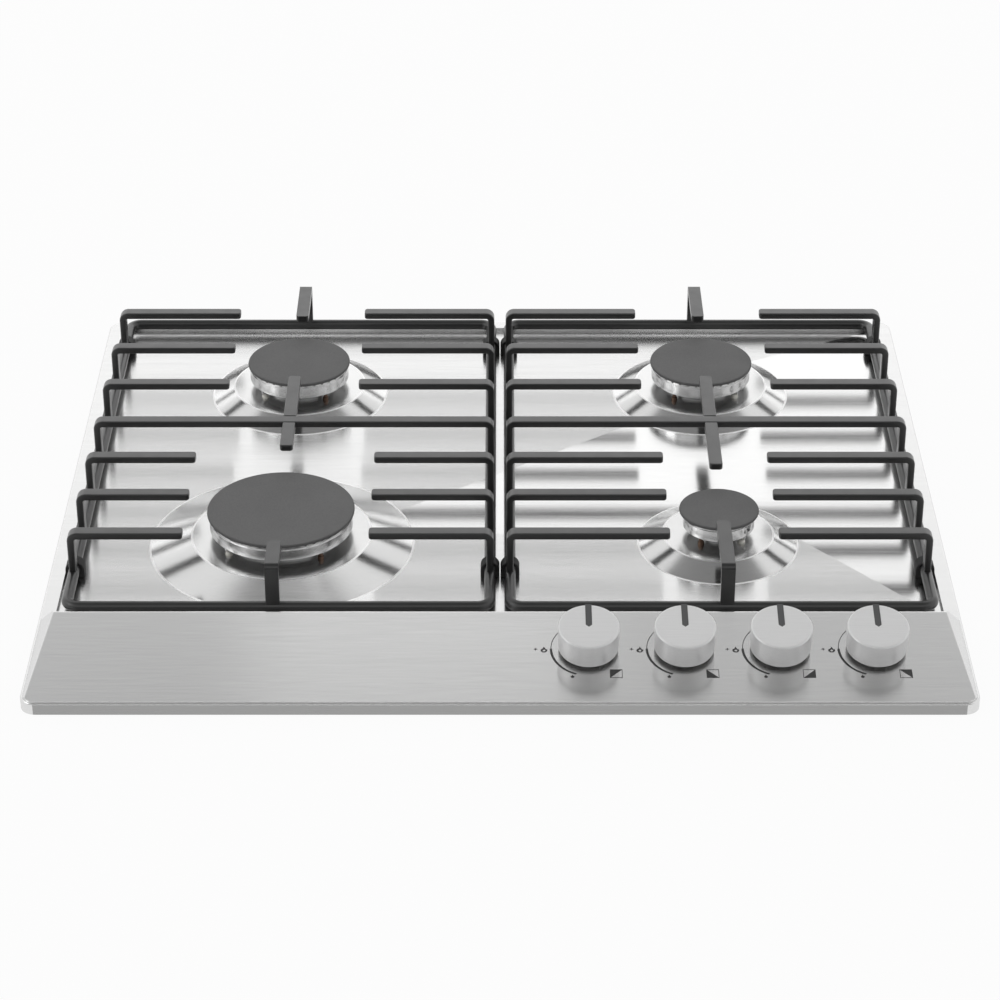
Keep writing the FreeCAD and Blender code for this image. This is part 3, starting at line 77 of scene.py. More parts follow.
def runOn(bm, loop, move):
    # carries the end of a bar straight on
    made = bmesh.ops.extrude_edge_only(bm, edges=loop)["geom"]
    verts = [g for g in made if isinstance(g, bmesh.types.BMVert)]
    bmesh.ops.translate(bm, verts=verts, vec=Vector(move) * mm)
    fresh = set(verts)
    return [e for e in made if isinstance(e, bmesh.types.BMEdge) and set(e.verts) <= fresh]


def turnOn(bm, loop, centre, axis, angle, steps):
    # carries the end of a bar round a bend
    made = bmesh.ops.spin(bm, geom=loopEnds(loop) + loop, cent=Vector(centre) * mm, axis=axis,
                          angle=math.radians(angle), steps=steps, use_duplicate=False)["geom_last"]
    return [e for e in made if isinstance(e, bmesh.types.BMEdge)]


def closeEnds(bm, *loops):
    for loop in loops:
        bmesh.ops.edgeloop_fill(bm, edges=loop)


def spinRound(bm, edges, steps):
    # a full turn about Z, with its poles closed
    bmesh.ops.spin(bm, geom=loopEnds(edges) + edges, cent=(0, 0, 0), axis=(0, 0, 1), angle=turn,
                   steps=steps, use_merge=True, use_duplicate=False)
    bmesh.ops.remove_doubles(bm, verts=bm.verts, dist=mergeReach)
    bmesh.ops.recalc_face_normals(bm, faces=bm.faces)


def soften(bm, width, segments=2, angle=35, wanted=None):
    # bevels the edges that are sharper than an angle
    sharp = [e for e in bm.edges if len(e.link_faces) == 2 and e.calc_face_angle(0) > math.radians(angle)]
    if wanted:
        sharp = [e for e in sharp if wanted(e)]
    bmesh.ops.bevel(bm, geom=sharp, offset=width * mm, offset_type="OFFSET", segments=segments,
                    profile=0.5, affect="EDGES", clamp_overlap=True, material=-1)


def addShape(target, shape, place):
    # puts one shape into another at a place
    shape.transform(place)
    spare = bpy.data.meshes.new("spare")
    shape.to_mesh(spare)
    target.from_mesh(spare)
    bpy.data.meshes.remove(spare)
    shape.free()


def at(x, y, z, angle=0, axis="Z"):
    return Matrix.Translation(Vector((x, y, z)) * mm) @ Matrix.Rotation(math.radians(angle), 4, axis)


def putInScene(name, bm):
    mesh = bpy.data.meshes.new(name)
    bm.to_mesh(mesh)
    bm.free()
    thing = bpy.data.objects.new(name, mesh)
    bpy.context.scene.collection.objects.link(thing)
    return thing


def finish(name, bm, materials, body, replaces=(), smooth=30):
    # turns a bmesh into a piece that rides on a body
    piece = putInScene(name, bm)
    mesh = piece.data
    for polygon in mesh.polygons:
        polygon.use_smooth = True
    mesh.set_sharp_from_angle(angle=math.radians(smooth))
    for material in materials if isinstance(materials, list) else [materials]:
        mesh.materials.append(material)
    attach(piece, body)
    if replaces:
        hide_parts(*replaces)
    even = piece.modifiers.new("evenShading", "WEIGHTED_NORMAL")
    even.keep_sharp = True
    return piece


def carve(piece, cutter):
    # cuts one piece with another, which is then thrown away
    tool = piece.modifiers.new("carve", "BOOLEAN")
    tool.operation = "DIFFERENCE"
    tool.solver = "MANIFOLD"
    tool.object = cutter
    piece.modifiers["evenShading"].show_viewport = False
    seen = piece.evaluated_get(bpy.context.evaluated_depsgraph_get())
    carved = bpy.data.meshes.new_from_object(seen)
    old = piece.data
    piece.modifiers.remove(tool)
    piece.modifiers["evenShading"].show_viewport = True
    piece.data = carved
    carved.name = old.name
    bpy.data.meshes.remove(old)
    bpy.data.objects.remove(cutter)


# helpers for materials

def addNode(tree, kind, values=None, operation=None):
    # a new node with some of its inputs set
    node = tree.new(kind)
    if operation:
        node.operation = operation
    for name, value in (values or {}).items():
        node.inputs[name].default_value = value
    return node


def startGroup(name, numbers, outputs):
    # a node group that takes a vector and some numbers
    group = bpy.data.node_groups.new(name, "ShaderNodeTree")
    addSocket = group.interface.new_socket
    addSocket(name="Vector", in_out="INPUT", socket_type="NodeSocketVector")
    for label, value in numbers.items():
        addSocket(name=label, in_out="INPUT", socket_type="NodeSocketFloat").default_value = value
    for label in outputs:
        addSocket(name=label, in_out="OUTPUT", socket_type="NodeSocketFloat")
    tree = group.nodes
    return group, tree, tree.new("NodeGroupInput").outputs, tree.new("NodeGroupOutput").inputs


def makeGrainGroup():
    # streaks or mottle in two sizes: a tint, a roughness mask and a height
    group, tree, entry, leave = startGroup("surfaceGrain", {"Fine": 900, "Coarse": 40, "Share": 0.5},
                                           ("Tint", "Rough", "Height"))
    fine = addNode(tree, "ShaderNodeTexNoise", {"Detail": 4})
    coarse = addNode(tree, "ShaderNodeTexNoise", {"Detail": 3})
    mixed = tree.new("ShaderNodeMix")
    link = group.links.new
    for noise, size in ((fine, "Fine"), (coarse, "Coarse")):
        link(entry["Vector"], noise.inputs["Vector"])
        link(entry[size], noise.inputs["Scale"])
    link(entry["Share"], mixed.inputs["Factor"])
    link(fine.outputs["Fac"], mixed.inputs[2])
    link(coarse.outputs["Fac"], mixed.inputs[3])
    link(mixed.outputs[0], leave["Tint"])
    link(coarse.outputs["Fac"], leave["Rough"])
    link(fine.outputs["Fac"], leave["Height"])
    return group


def makeSpeckGroup():
    # small specks, as in vitreous enamel or cast metal
    group, tree, entry, leave = startGroup("fineSpeck", {"Scale": 1500, "Amount": 0.4},
                                           ("Speck", "Height"))
    cells = tree.new("ShaderNodeTexVoronoi")
    spread = addNode(tree, "ShaderNodeMapRange",
                     {"From Min": 0.15, "From Max": 0.7, "To Min": 1, "To Max": 0})
    amount = addNode(tree, "ShaderNodeMath", operation="MULTIPLY")
    link = group.links.new
    link(entry["Vector"], cells.inputs["Vector"])
    link(entry["Scale"], cells.inputs["Scale"])
    link(cells.outputs["Distance"], spread.inputs["Value"])
    link(spread.outputs["Result"], amount.inputs[0])
    link(entry["Amount"], amount.inputs[1])
    link(amount.outputs["Value"], leave["Speck"])
    link(cells.outputs["Distance"], leave["Height"])
    return group


def makeWearGroup():
    # outer edges, broken up by a noise
    group, tree, entry, leave = startGroup("edgeWear", {"Amount": 0.3}, ("Worn",))
    shape = tree.new("ShaderNodeNewGeometry")
    edge = addNode(tree, "ShaderNodeMapRange", {"From Min": 0.52, "From Max": 0.66})
    breakUp = addNode(tree, "ShaderNodeTexNoise", {"Scale": 260})
    times = addNode(tree, "ShaderNodeMath", operation="MULTIPLY")
    share = addNode(tree, "ShaderNodeMath", operation="MULTIPLY")
    link = group.links.new
    link(shape.outputs["Pointiness"], edge.inputs["Value"])
    link(entry["Vector"], breakUp.inputs["Vector"])
    link(edge.outputs["Result"], times.inputs[0])
    link(breakUp.outputs["Fac"], times.inputs[1])
    link(times.outputs["Value"], share.inputs[0])
    link(entry["Amount"], share.inputs[1])
    link(share.outputs["Value"], leave["Worn"])
    return group


surfaceGrain = makeGrainGroup()
fineSpeck = makeSpeckGroup()
edgeWear = makeWearGroup()


def makeMaterial(name, look):
    material = bpy.data.materials.new(name)
    material.use_nodes = True
    tree = material.node_tree.nodes
    link = material.node_tree.links.new

    def addGroup(group, values):
        node = tree.new("ShaderNodeGroup")
        node.node_tree = group
        for label, value in values.items():
            node.inputs[label].default_value = value
        return node

    def layOver(mask, over):
        # lays a colour over what comes into input 6, by a mask
        mix = tree.new("ShaderNodeMix")
        mix.data_type = "RGBA"
        mix.inputs[7].default_value = (*over, 1)
        link(mask, mix.inputs["Factor"])
        return mix

    shader = tree["Principled BSDF"]
    shader.inputs["Metallic"].default_value = look.get("metallic", 0)
    shader.inputs["Anisotropic"].default_value = look.get("anisotropic", 0)
    shader.inputs["Coat Weight"].default_value = look.get("coat", 0)
    shader.inputs["Coat Roughness"].default_value = look.get("coatRoughness", 0.1)
    if look.get("anisotropic"):
        along = tree.new("ShaderNodeCombineXYZ")
        along.inputs[1].default_value = 1  # gloss spreads across the brushing, which runs along x
        link(along.outputs[0], shader.inputs["Tangent"])
    place = tree.new("ShaderNodeTexCoord")
    stretch = addNode(tree, "ShaderNodeMapping", {"Scale": look.get("stretch", (1, 1, 1))})
    link(place.outputs["Object"], stretch.inputs["Vector"])
    grain = addGroup(surfaceGrain, {"Fine": look["fine"], "Coarse": look["coarse"],
                                    "Share": look.get("share", 0.5)})
    link(stretch.outputs["Vector"], grain.inputs["Vector"])
    tint = layOver(grain.outputs["Tint"], look["light"])
    tint.inputs[6].default_value = (*look["dark"], 1)
    colour = tint.outputs[2]
    height = grain.outputs["Height"]
    if "speck" in look:
        speck = addGroup(fineSpeck, {"Scale": look["speck"], "Amount": look["speckAmount"]})
        link(place.outputs["Object"], speck.inputs["Vector"])
        dotted = layOver(speck.outputs["Speck"], look["speckColour"])
        link(colour, dotted.inputs[6])
        colour = dotted.outputs[2]
        height = speck.outputs["Height"]
    if "wear" in look:
        worn = addGroup(edgeWear, {"Amount": look["wear"]})
        link(place.outputs["Object"], worn.inputs["Vector"])
        rubbed = layOver(worn.outputs["Worn"], look.get("wornColour", look["light"]))
        link(colour, rubbed.inputs[6])
        colour = rubbed.outputs[2]
    link(colour, shader.inputs["Base Color"])
    low, high = look["rough"]
    rough = addNode(tree, "ShaderNodeMapRange",
                    {"From Min": 0.3, "From Max": 0.7, "To Min": low, "To Max": high})
    link(grain.outputs["Rough"], rough.inputs["Value"])
    link(rough.outputs["Result"], shader.inputs["Roughness"])
    bump = addNode(tree, "ShaderNodeBump",
                   {"Strength": look["bump"], "Distance": look.get("deep", 0.02) * mm})
    link(height, bump.inputs["Height"])
    link(bump.outputs["Normal"], shader.inputs["Normal"])
    return material


def grey(level):
    return (level, level, level)


# a look gives two colours, the roughness range, the grain's sizes and the depth of the bump in mm
brushed = (7, 400, 400)
brushedSteel = makeMaterial("brushedSteel", {
    "dark": grey(0.64), "light": (0.82, 0.82, 0.815), "metallic": 1, "rough": (0.20, 0.24),
    "anisotropic": 0.85, "stretch": brushed, "fine": 5, "coarse": 1.2, "share": 0.25, "bump": 0.06,
})
coneSteel = makeMaterial("coneSteel", {
    "dark": grey(0.63), "light": (0.76, 0.76, 0.755), "metallic": 1, "rough": (0.13, 0.17),
    "anisotropic": 0.3, "stretch": brushed, "fine": 6, "coarse": 1.5, "share": 0.2, "bump": 0.08,
})
# darker steel for the folded skirt: painted shade, standing in for the dim front that the skirt reflects
paintedShadeSkirtSteel = makeMaterial("paintedShadeSkirtSteel", {
    "dark": grey(0.31), "light": (0.38, 0.38, 0.375), "metallic": 1, "rough": (0.26, 0.32),
    "anisotropic": 0.5, "stretch": brushed, "fine": 6, "coarse": 1.5, "share": 0.2, "bump": 0.15,
})
polishedSteel = makeMaterial("polishedSteel", {
    "dark": grey(0.62), "light": (0.74, 0.74, 0.735), "metallic": 1, "rough": (0.22, 0.27),
    "stretch": brushed, "fine": 6, "coarse": 1.5, "share": 0.2, "bump": 0.05,
})
# lighter steel for the rolled beads: a painted highlight, the bright line along each crest and foot
paintedHighlightFoldSteel = makeMaterial("paintedHighlightFoldSteel", {
    "dark": grey(0.84), "light": (0.93, 0.93, 0.925), "metallic": 1, "rough": (0.28, 0.34),
    "stretch": brushed, "fine": 6, "coarse": 1.5, "share": 0.2, "bump": 0.05,
})
grateEnamel = makeMaterial("grateEnamel", {
    "dark": grey(0.006), "light": grey(0.012), "rough": (0.34, 0.44),
    "coat": 0.6, "coatRoughness": 0.3,
    "fine": 2600, "coarse": 120, "bump": 0.3, "deep": 0.05, "wear": 0.25, "wornColour": grey(0.04),
})
capEnamel = makeMaterial("capEnamel", {
    "dark": grey(0.085), "light": grey(0.112), "rough": (0.55, 0.68),
    "fine": 3000, "coarse": 30, "bump": 0.3, "deep": 0.06, "speck": 1100, "speckAmount": 0.35,
    "speckColour": grey(0.15),
})
crownAluminium = makeMaterial("crownAluminium", {
    "dark": grey(0.58), "light": grey(0.88), "metallic": 1, "rough": (0.14, 0.24),
    "stretch": (1, 1, 0.03), "fine": 420, "coarse": 90, "share": 0.45, "bump": 0.3, "deep": 0.03,
})
# a darker cast finish for the crown's inside, darkened further as painted shade under the crown
crownInsideCastAndShade = makeMaterial("crownInsideCastAndShade", {
    "dark": grey(0.40), "light": grey(0.54), "metallic": 0.9, "rough": (0.35, 0.45),
    "fine": 900, "coarse": 70, "bump": 0.4, "deep": 0.08,
})
knobSilver = makeMaterial("knobSilver", {
    "dark": grey(0.68), "light": grey(0.82), "metallic": 0.35, "rough": (0.36, 0.44),
    "stretch": (20, 900, 900), "fine": 4, "coarse": 1, "bump": 0.1, "deep": 0.02,
})
pointerInk = makeMaterial("pointerInk", {
    "dark": (0.060, 0.060, 0.062), "light": (0.085, 0.085, 0.087), "rough": (0.45, 0.55),
    "fine": 2000, "coarse": 60, "bump": 0.1,
})
printInk = makeMaterial("printInk", {
    "dark": grey(0.028), "light": grey(0.045), "rough": (0.45, 0.55),
    "fine": 2000, "coarse": 60, "bump": 0.1,
})
footRubber = makeMaterial("footRubber", {
    "dark": grey(0.010), "light": grey(0.020), "rough": (0.55, 0.7),
    "fine": 1500, "coarse": 50, "bump": 0.3, "deep": 0.05,
})
foamRubber = makeMaterial("foamRubber", {
    "dark": grey(0.02), "light": grey(0.04), "rough": (0.8, 0.9),
    "fine": 1200, "coarse": 90, "bump": 0.6, "deep": 0.15, "speck": 900, "speckAmount": 0.4,
    "speckColour": grey(0.01),
})
zincSteel = makeMaterial("zincSteel", {
    "dark": (0.50, 0.52, 0.54), "light": (0.70, 0.71, 0.72), "metallic": 1, "rough": (0.30, 0.48),
    "fine": 220, "coarse": 45, "share": 0.6, "bump": 0.1, "speck": 130, "speckAmount": 0.35,
    "speckColour": (0.60, 0.62, 0.64),
})
brightSteel = makeMaterial("brightSteel", {
    "dark": (0.55, 0.55, 0.56), "light": (0.72, 0.72, 0.73), "metallic": 1, "rough": (0.22, 0.34),
    "fine": 600, "coarse": 60, "bump": 0.15, "wear": 0.3,
})
castAlloy = makeMaterial("castAlloy", {
    "dark": (0.42, 0.42, 0.43), "light": (0.56, 0.56, 0.57), "metallic": 1, "rough": (0.42, 0.58),
    "fine": 900, "coarse": 70, "bump": 0.4, "deep": 0.08,
})
tubeAlloy = makeMaterial("tubeAlloy", {
    "dark": (0.60, 0.60, 0.61), "light": (0.74, 0.74, 0.75), "metallic": 1, "rough": (0.26, 0.38),
    "fine": 500, "coarse": 50, "bump": 0.12,
})
turnedBrass = makeMaterial("turnedBrass", {
    "dark": (0.55, 0.38, 0.15), "light": (0.74, 0.56, 0.26), "metallic": 1, "rough": (0.20, 0.34),
    "stretch": (1, 1, 30), "fine": 120, "coarse": 30, "bump": 0.2, "wear": 0.3,
})
# dull copper, made darker still as painted shade for the probes' place under the crowns
copperProbeDullAndShaded = makeMaterial("copperProbeDullAndShaded", {
    "dark": (0.10, 0.07, 0.055), "light": (0.22, 0.14, 0.10), "metallic": 1, "rough": (0.3, 0.45),
    "fine": 800, "coarse": 90, "bump": 0.15,
})
whiteCeramic = makeMaterial("whiteCeramic", {
    "dark": (0.72, 0.70, 0.64), "light": (0.84, 0.83, 0.78), "rough": (0.16, 0.28),
    "fine": 1200, "coarse": 120, "bump": 0.1, "coat": 0.4,
})
blackPlastic = makeMaterial("blackPlastic", {
    "dark": (0.016, 0.016, 0.017), "light": (0.028, 0.028, 0.029), "rough": (0.42, 0.55),
    "fine": 1800, "coarse": 60, "bump": 0.3, "deep": 0.05,
})
leadSleeve = makeMaterial("leadSleeve", {
    "dark": (0.50, 0.47, 0.42), "light": (0.60, 0.57, 0.52), "rough": (0.5, 0.62),
    "fine": 1500, "coarse": 80, "bump": 0.2,
})
print("materials made")


# camera, lights and floor

studio = {
    "cameraPlace": (0, -1.773, 1.0294), "cameraTilt": 59.92, "lens": 109.3,
    "lamps": (  # name, place, width, height, watts
        ("rearBox", (0, 2.7, 1.2), 4.2, 1.0, 6),
        ("panelBox", (-0.12, 1.3, 2.15), 0.5, 0.4, 0.35),
        ("leftBox", (-2.2, -0.6, 1.6), 1.2, 1.0, 6),
    ),
    "air": ((0, 1), (0.785, 1), (0.828, 0.86), (0.858, 0.33), (1, 0.25)),  # height and brightness
    "worktopLevel": -0.05, "cutOut": (560, 490), "floorSize": 9000, "floorGrey": 0.62, "floorRough": 0.8,
    "backdrop": 0.95,
    "curtain": (7, 1.4), "curtainPlace": (0, -2.6, 0.7), "curtainGrey": 0.12, "curtainRough": 0.9,
}


def makeStudio():
    bpy.context.scene.view_settings.view_transform = "Standard"
    camera = bpy.data.objects.new("camera", bpy.data.cameras.new("camera"))
    camera.data.sensor_width = 36
    camera.data.lens = studio["lens"]
    camera.location = studio["cameraPlace"]
    camera.rotation_euler = (math.radians(studio["cameraTilt"]), 0, 0)
    bpy.context.scene.collection.objects.link(camera)
    bpy.context.scene.camera = camera
    for name, place, width, height, watts in studio["lamps"]:
        lamp = bpy.data.objects.new(name, bpy.data.lights.new(name, "AREA"))
        lamp.data.shape = "RECTANGLE"
        lamp.data.size = width
        lamp.data.size_y = height
        lamp.data.energy = watts
        lamp.location = place
        lamp.rotation_euler = (Vector((0, 0, 0)) - Vector(place)).to_track_quat("-Z", "Y").to_euler()
        bpy.context.scene.collection.objects.link(lamp)


def plainMaterial(name, level, rough):
    material = bpy.data.materials.new(name)
    material.use_nodes = True
    matt = material.node_tree.nodes["Principled BSDF"]
    matt.inputs["Base Color"].default_value = (*grey(level), 1)
    matt.inputs["Roughness"].default_value = rough
    return material


def makeWorld():
    # a white backdrop all round that turns grey overhead
    world = bpy.data.worlds.new("studioAir")
    bpy.context.scene.world = world
    world.use_nodes = True
    tree = world.node_tree.nodes
    link = world.node_tree.links.new
    air = tree["Background"]
    air.inputs["Strength"].default_value = 1
    place = tree.new("ShaderNodeTexCoord")
    split = tree.new("ShaderNodeSeparateXYZ")
    fade = tree.new("ShaderNodeValToRGB")
    steps = fade.color_ramp.elements
    steps[0].position = studio["air"][0][0]
    steps[1].position = studio["air"][-1][0]
    for position, level in studio["air"][1:-1]:
        steps.new(position)
    for step, (position, level) in zip(steps, studio["air"]):
        step.color = (level, level, level, 1)
    link(place.outputs["Generated"], split.inputs[0])
    link(split.outputs["Z"], fade.inputs["Fac"])
    link(fade.outputs["Color"], air.inputs["Color"])


def makeFloor():
    # a plain pale worktop with the cut-out that the tray hangs in
    bm = bmesh.new()
    outer = flatLoop(bm, studio["floorSize"], studio["floorSize"], at(0, 0, studio["worktopLevel"]))
    inner = flatLoop(bm, *studio["cutOut"], at(0, 0, studio["worktopLevel"]))
    bmesh.ops.bridge_loops(bm, edges=outer + inner)
    floor = putInScene("worktop", bm)
    pale = plainMaterial("paleWorktop", studio["floorGrey"], studio["floorRough"])
    tree = pale.node_tree.nodes
    link = pale.node_tree.links.new
    glow = tree.new("ShaderNodeEmission")
    rays = tree.new("ShaderNodeLightPath")
    direct = addNode(tree, "ShaderNodeMath", operation="MAXIMUM")
    seen = addNode(tree, "ShaderNodeMath", operation="MAXIMUM")
    share = addNode(tree, "ShaderNodeMath", {1: studio["backdrop"]}, "MULTIPLY")
    choose = tree.new("ShaderNodeMixShader")
    link(rays.outputs["Is Camera Ray"], direct.inputs[0])
    link(rays.outputs["Is Glossy Ray"], direct.inputs[1])
    link(direct.outputs[0], seen.inputs[0])
    link(rays.outputs["Is Transmission Ray"], seen.inputs[1])
    link(seen.outputs[0], share.inputs[0])
    link(share.outputs[0], choose.inputs["Fac"])
    link(tree["Principled BSDF"].outputs[0], choose.inputs[1])
    link(glow.outputs[0], choose.inputs[2])
    link(choose.outputs[0], tree["Material Output"].inputs["Surface"])
    floor.data.materials.append(pale)


def makeCurtain():
    # the dark side of the studio, behind the camera
    bm = bmesh.new()
    flat = bmesh.ops.create_grid(bm, x_segments=1, y_segments=1, size=0.5)["verts"]
    bmesh.ops.scale(bm, verts=flat, vec=(*studio["curtain"], 1))
    bmesh.ops.rotate(bm, verts=flat, cent=(0, 0, 0), matrix=Matrix.Rotation(math.pi / 2, 3, "X"))
    bmesh.ops.translate(bm, verts=flat, vec=studio["curtainPlace"])
    curtain = putInScene("curtain", bm)
    curtain.visible_camera = False
    cloth = plainMaterial("darkCloth", studio["curtainGrey"], studio["curtainRough"])
    curtain.data.materials.append(cloth)


makeStudio()
makeWorld()
makeFloor()
makeCurtain()
print("studio made")


# top plate

burners = {  # place, surround foot and crest, cap, crown, side of the spark plug
    "front_left": {"x": -143, "y": -60.8, "foot": 86.3, "crest": 58.8, "cap": 48.1, "crown": 46.8, "side": -1},
    "rear_left": {"x": -143, "y": 147.4, "foot": 61.7, "crest": 46.4, "cap": 36, "crown": 34.9, "side": -1},
    "rear_right": {"x": 143, "y": 147.4, "foot": 61.7, "crest": 46.4, "cap": 36, "crown": 34.9, "side": 1},
    "front_right": {"x": 143, "y": -60.8, "foot": 52.4, "crest": 36.3, "cap": 26, "crown": 23.3, "side": 1},
}
hobLevel = 5.4
surroundLevel = 13
capLevel = 31.7
crownLevel = 29.3
plate = {
    "crestRound": 0.7, "footRound": 0.7, "foldRound": 0.45, "foldAngles": (8, 80), "flatAngle": 0.05,
    "lowestFold": 3, "shortestFold": 0.2, "ringPlay": 0.7, "levelPlay": 0.2, "skirt": (289.9, 254.9),
    "ringEdge": 0.3,
}


def makeTopPlate():
    # the pressed sheet, with every fold and rim rolled over
    skins = [brushedSteel, coneSteel, polishedSteel, paintedShadeSkirtSteel, paintedHighlightFoldSteel]
    bm = bmesh.new()
    bm.from_mesh(nodes["top_plate"].data)
    bmesh.ops.remove_doubles(bm, verts=bm.verts, dist=mergeReach)
    bmesh.ops.dissolve_limit(bm, angle_limit=math.radians(plate["flatAngle"]), verts=bm.verts,
                             edges=bm.edges, use_dissolve_boundaries=False)
    least, most = (math.radians(angle) for angle in plate["foldAngles"])

    def ringFold(edge, size, level):
        # is the edge part of a surround's foot or crest, on the upper face
        middle = (edge.verts[0].co + edge.verts[1].co) / 2 / mm
        near = [abs(math.hypot(middle.x - b["x"], middle.y - b["y"]) - b[size]) < plate["ringPlay"]
                for b in burners.values()]
        return any(near) and abs(middle.z - level) < plate["levelPlay"]

    def roll(width, segments, wanted):
        folds = [e for e in bm.edges if len(e.link_faces) == 2 and least < e.calc_face_angle(0) < most
                 and e.verts[0].co.z > plate["lowestFold"] * mm
                 and e.calc_length() > plate["shortestFold"] * mm and wanted(e)]
        return bmesh.ops.bevel(bm, geom=folds, offset=width * mm, offset_type="OFFSET", segments=segments,
                               profile=0.5, affect="EDGES", clamp_overlap=True, material=-1)["faces"]

    roll(plate["foldRound"], 2, lambda e: not ringFold(e, "foot", hobLevel)
         and not ringFold(e, "crest", surroundLevel))
    beads = roll(plate["crestRound"], 3, lambda e: ringFold(e, "crest", surroundLevel))
    beads += roll(plate["footRound"], 3, lambda e: ringFold(e, "foot", hobLevel))
    for face in bm.faces:
        middle = face.calc_center_median()
        outside = abs(middle.x) > plate["skirt"][0] * mm or abs(middle.y) > plate["skirt"][1] * mm
        # the outer skirt faces take the darker steel, painted shade on the skirt
        if outside and abs(face.normal.z) < 0.1:
            face.material_index = skins.index(paintedShadeSkirtSteel)
        for b in burners.values():
            reach = math.hypot(middle.x / mm - b["x"], middle.y / mm - b["y"])
            if reach < b["foot"] and middle.z > hobLevel * mm:
                onRing = (reach < b["crest"] - plate["ringEdge"]
                          and middle.z > (surroundLevel - plate["levelPlay"]) * mm)
                face.material_index = skins.index(polishedSteel if onRing else coneSteel)
    # the beads at each surround's crest and foot take the lighter steel, a painted highlight
    for face in beads:
        if face.is_valid:
            face.material_index = skins.index(paintedHighlightFoldSteel)
    finish("topPlate", bm, skins, "hob", ["top_plate"], smooth=22)


makeTopPlate()
print("top plate made")


# burners

def makeCap(name, b):
    cap = {"thick": 2.4, "edge": 0.9, "lip": 2, "lipInset": 4.9, "lipWall": 3,
           "dome": ((1, 0.12), (0.7, 0.04), (0.35, 0))}  # share of the radius, drop in mm
    radius = b["cap"]
    lip = b["crown"] - cap["lipInset"]
    bottom = capLevel - cap["thick"]
    bm = bmesh.new()
    line = chain(bm, [
        (0, 0, bottom), (lip - cap["lipWall"], 0, bottom), (lip - cap["lipWall"], 0, bottom - cap["lip"]),
        (lip, 0, bottom - cap["lip"]), (lip, 0, bottom), (radius, 0, bottom),
        *((radius * share, 0, capLevel - drop) for share, drop in cap["dome"]), (0, 0, capLevel),
    ])
    spinRound(bm, line, 128)
    soften(bm, cap["edge"], 4, 35, lambda e: Vector(e.verts[0].co[:2]).length > (radius - 0.1) * mm)
    bm.transform(at(b["x"], b["y"], 0))
    finish(name + "Cap", bm, capEnamel, name + "_cap", [name + "_cap"])


def makeCrown(name, b, ports):
    crown = {
        "neckInset": 11.2, "neckWall": 2.5, "bore": 6, "boreWall": 1.5, "boreDrop": 8, "spigot": 6,
        "foot": 2.5, "footHeight": 1.5, "wall": 3, "skirt": 19.4, "floor": 2.5, "chamber": 5,
        "step": 0.8, "stepHeight": 2.4, "rim": 4.5, "portDeep": 2.6, "portHeight": 1.5, "portRoof": 0.3,
        "edge": 0.45, "polished": 1, "shade": 3,
    }
    radius = b["crown"]
    neck = radius - crown["neckInset"]
    under = crownLevel - crown["chamber"] - crown["floor"]
    flat = surroundLevel
    upper = radius - crown["step"]
    bore = crown["bore"]
    bm = bmesh.new()
    line = chain(bm, [(r, 0, z) for r, z in [
        (bore, crownLevel - crown["chamber"]), (bore, flat - crown["boreDrop"]),
        (bore + crown["boreWall"], flat - crown["boreDrop"]), (bore + crown["boreWall"], under),
        (neck - crown["neckWall"], under), (neck - crown["neckWall"], flat - crown["spigot"]),
        (neck, flat - crown["spigot"]), (neck, flat), (neck + crown["foot"], flat),
        (neck + crown["foot"], flat + crown["footHeight"]), (neck, flat + crown["footHeight"]),
        (neck, under), (radius - crown["wall"], under), (radius - crown["wall"], crown["skirt"]),
        (radius, crown["skirt"]), (radius, crownLevel - crown["stepHeight"]),
        (upper, crownLevel - crown["stepHeight"]), (upper, crownLevel - crown["portHeight"]),
        (upper, crownLevel - crown["portRoof"]), (upper, crownLevel), (radius - crown["rim"], crownLevel),
        (radius - crown["rim"], crownLevel - crown["chamber"]), (bore, crownLevel - crown["chamber"]),
    ]])
    steps = ports * 4  # one step of four is a flame port
    spinRound(bm, line, steps)

    def onStep(face):
        middle = face.calc_center_median()
        wall = abs(Vector(middle[:2]).length - upper * mm) < 0.3 * mm
        level = crownLevel - crown["portHeight"] < middle.z / mm < crownLevel - crown["portRoof"]
        sector = int((math.atan2(middle.y, middle.x) / turn + 1) * steps) % 4
        return wall and level and sector == 0 and abs(face.normal.z) < 0.3

    mouths = [f for f in bm.faces if onStep(f)]
    sunk = bmesh.ops.extrude_discrete_faces(bm, faces=mouths)["faces"]
    for face in sunk:
        inward = face.normal * -crown["portDeep"] * mm
        bmesh.ops.translate(bm, verts=face.verts[:], vec=inward)
    bmesh.ops.remove_doubles(bm, verts=bm.verts, dist=mergeReach)
    outside = (radius - 0.2) * mm
    soften(bm, crown["edge"], 3, 60, lambda e: min(Vector(v.co[:2]).length for v in e.verts) > outside)
    for face in bm.faces:  # only the outer wall is polished; the inner faces low in the crown take a darker cast finish, which also paints the shade under the crown
        middle = face.calc_center_median()
        inner = Vector(middle[:2]).length < (radius - crown["polished"]) * mm
        face.material_index = 1 if inner and middle.z < (crownLevel - crown["shade"]) * mm else 0
    bm.transform(at(b["x"], b["y"], 0))
    return finish(name + "Crown", bm, [crownAluminium, crownInsideCastAndShade], name + "_crown",
                  [name + "_crown"])


def makeNotch(piece, b):
    # the gap in the small crown's wall beside its spark plug
    notch = {"size": (6, 7, 9), "level": 26.6, "edge": 0.8, "azimuth": -40}
    bm = bmesh.new()
    made = bmesh.ops.create_cube(bm, size=1)["verts"]
    bmesh.ops.scale(bm, verts=made, vec=Vector(notch["size"]) * mm)
    bmesh.ops.translate(bm, verts=made, vec=Vector((b["crown"], 0, notch["level"])) * mm)
    soften(bm, notch["edge"], 3)
    bm.transform(at(b["x"], b["y"], 0, notch["azimuth"]))
    carve(piece, putInScene("notchCutter", bm))


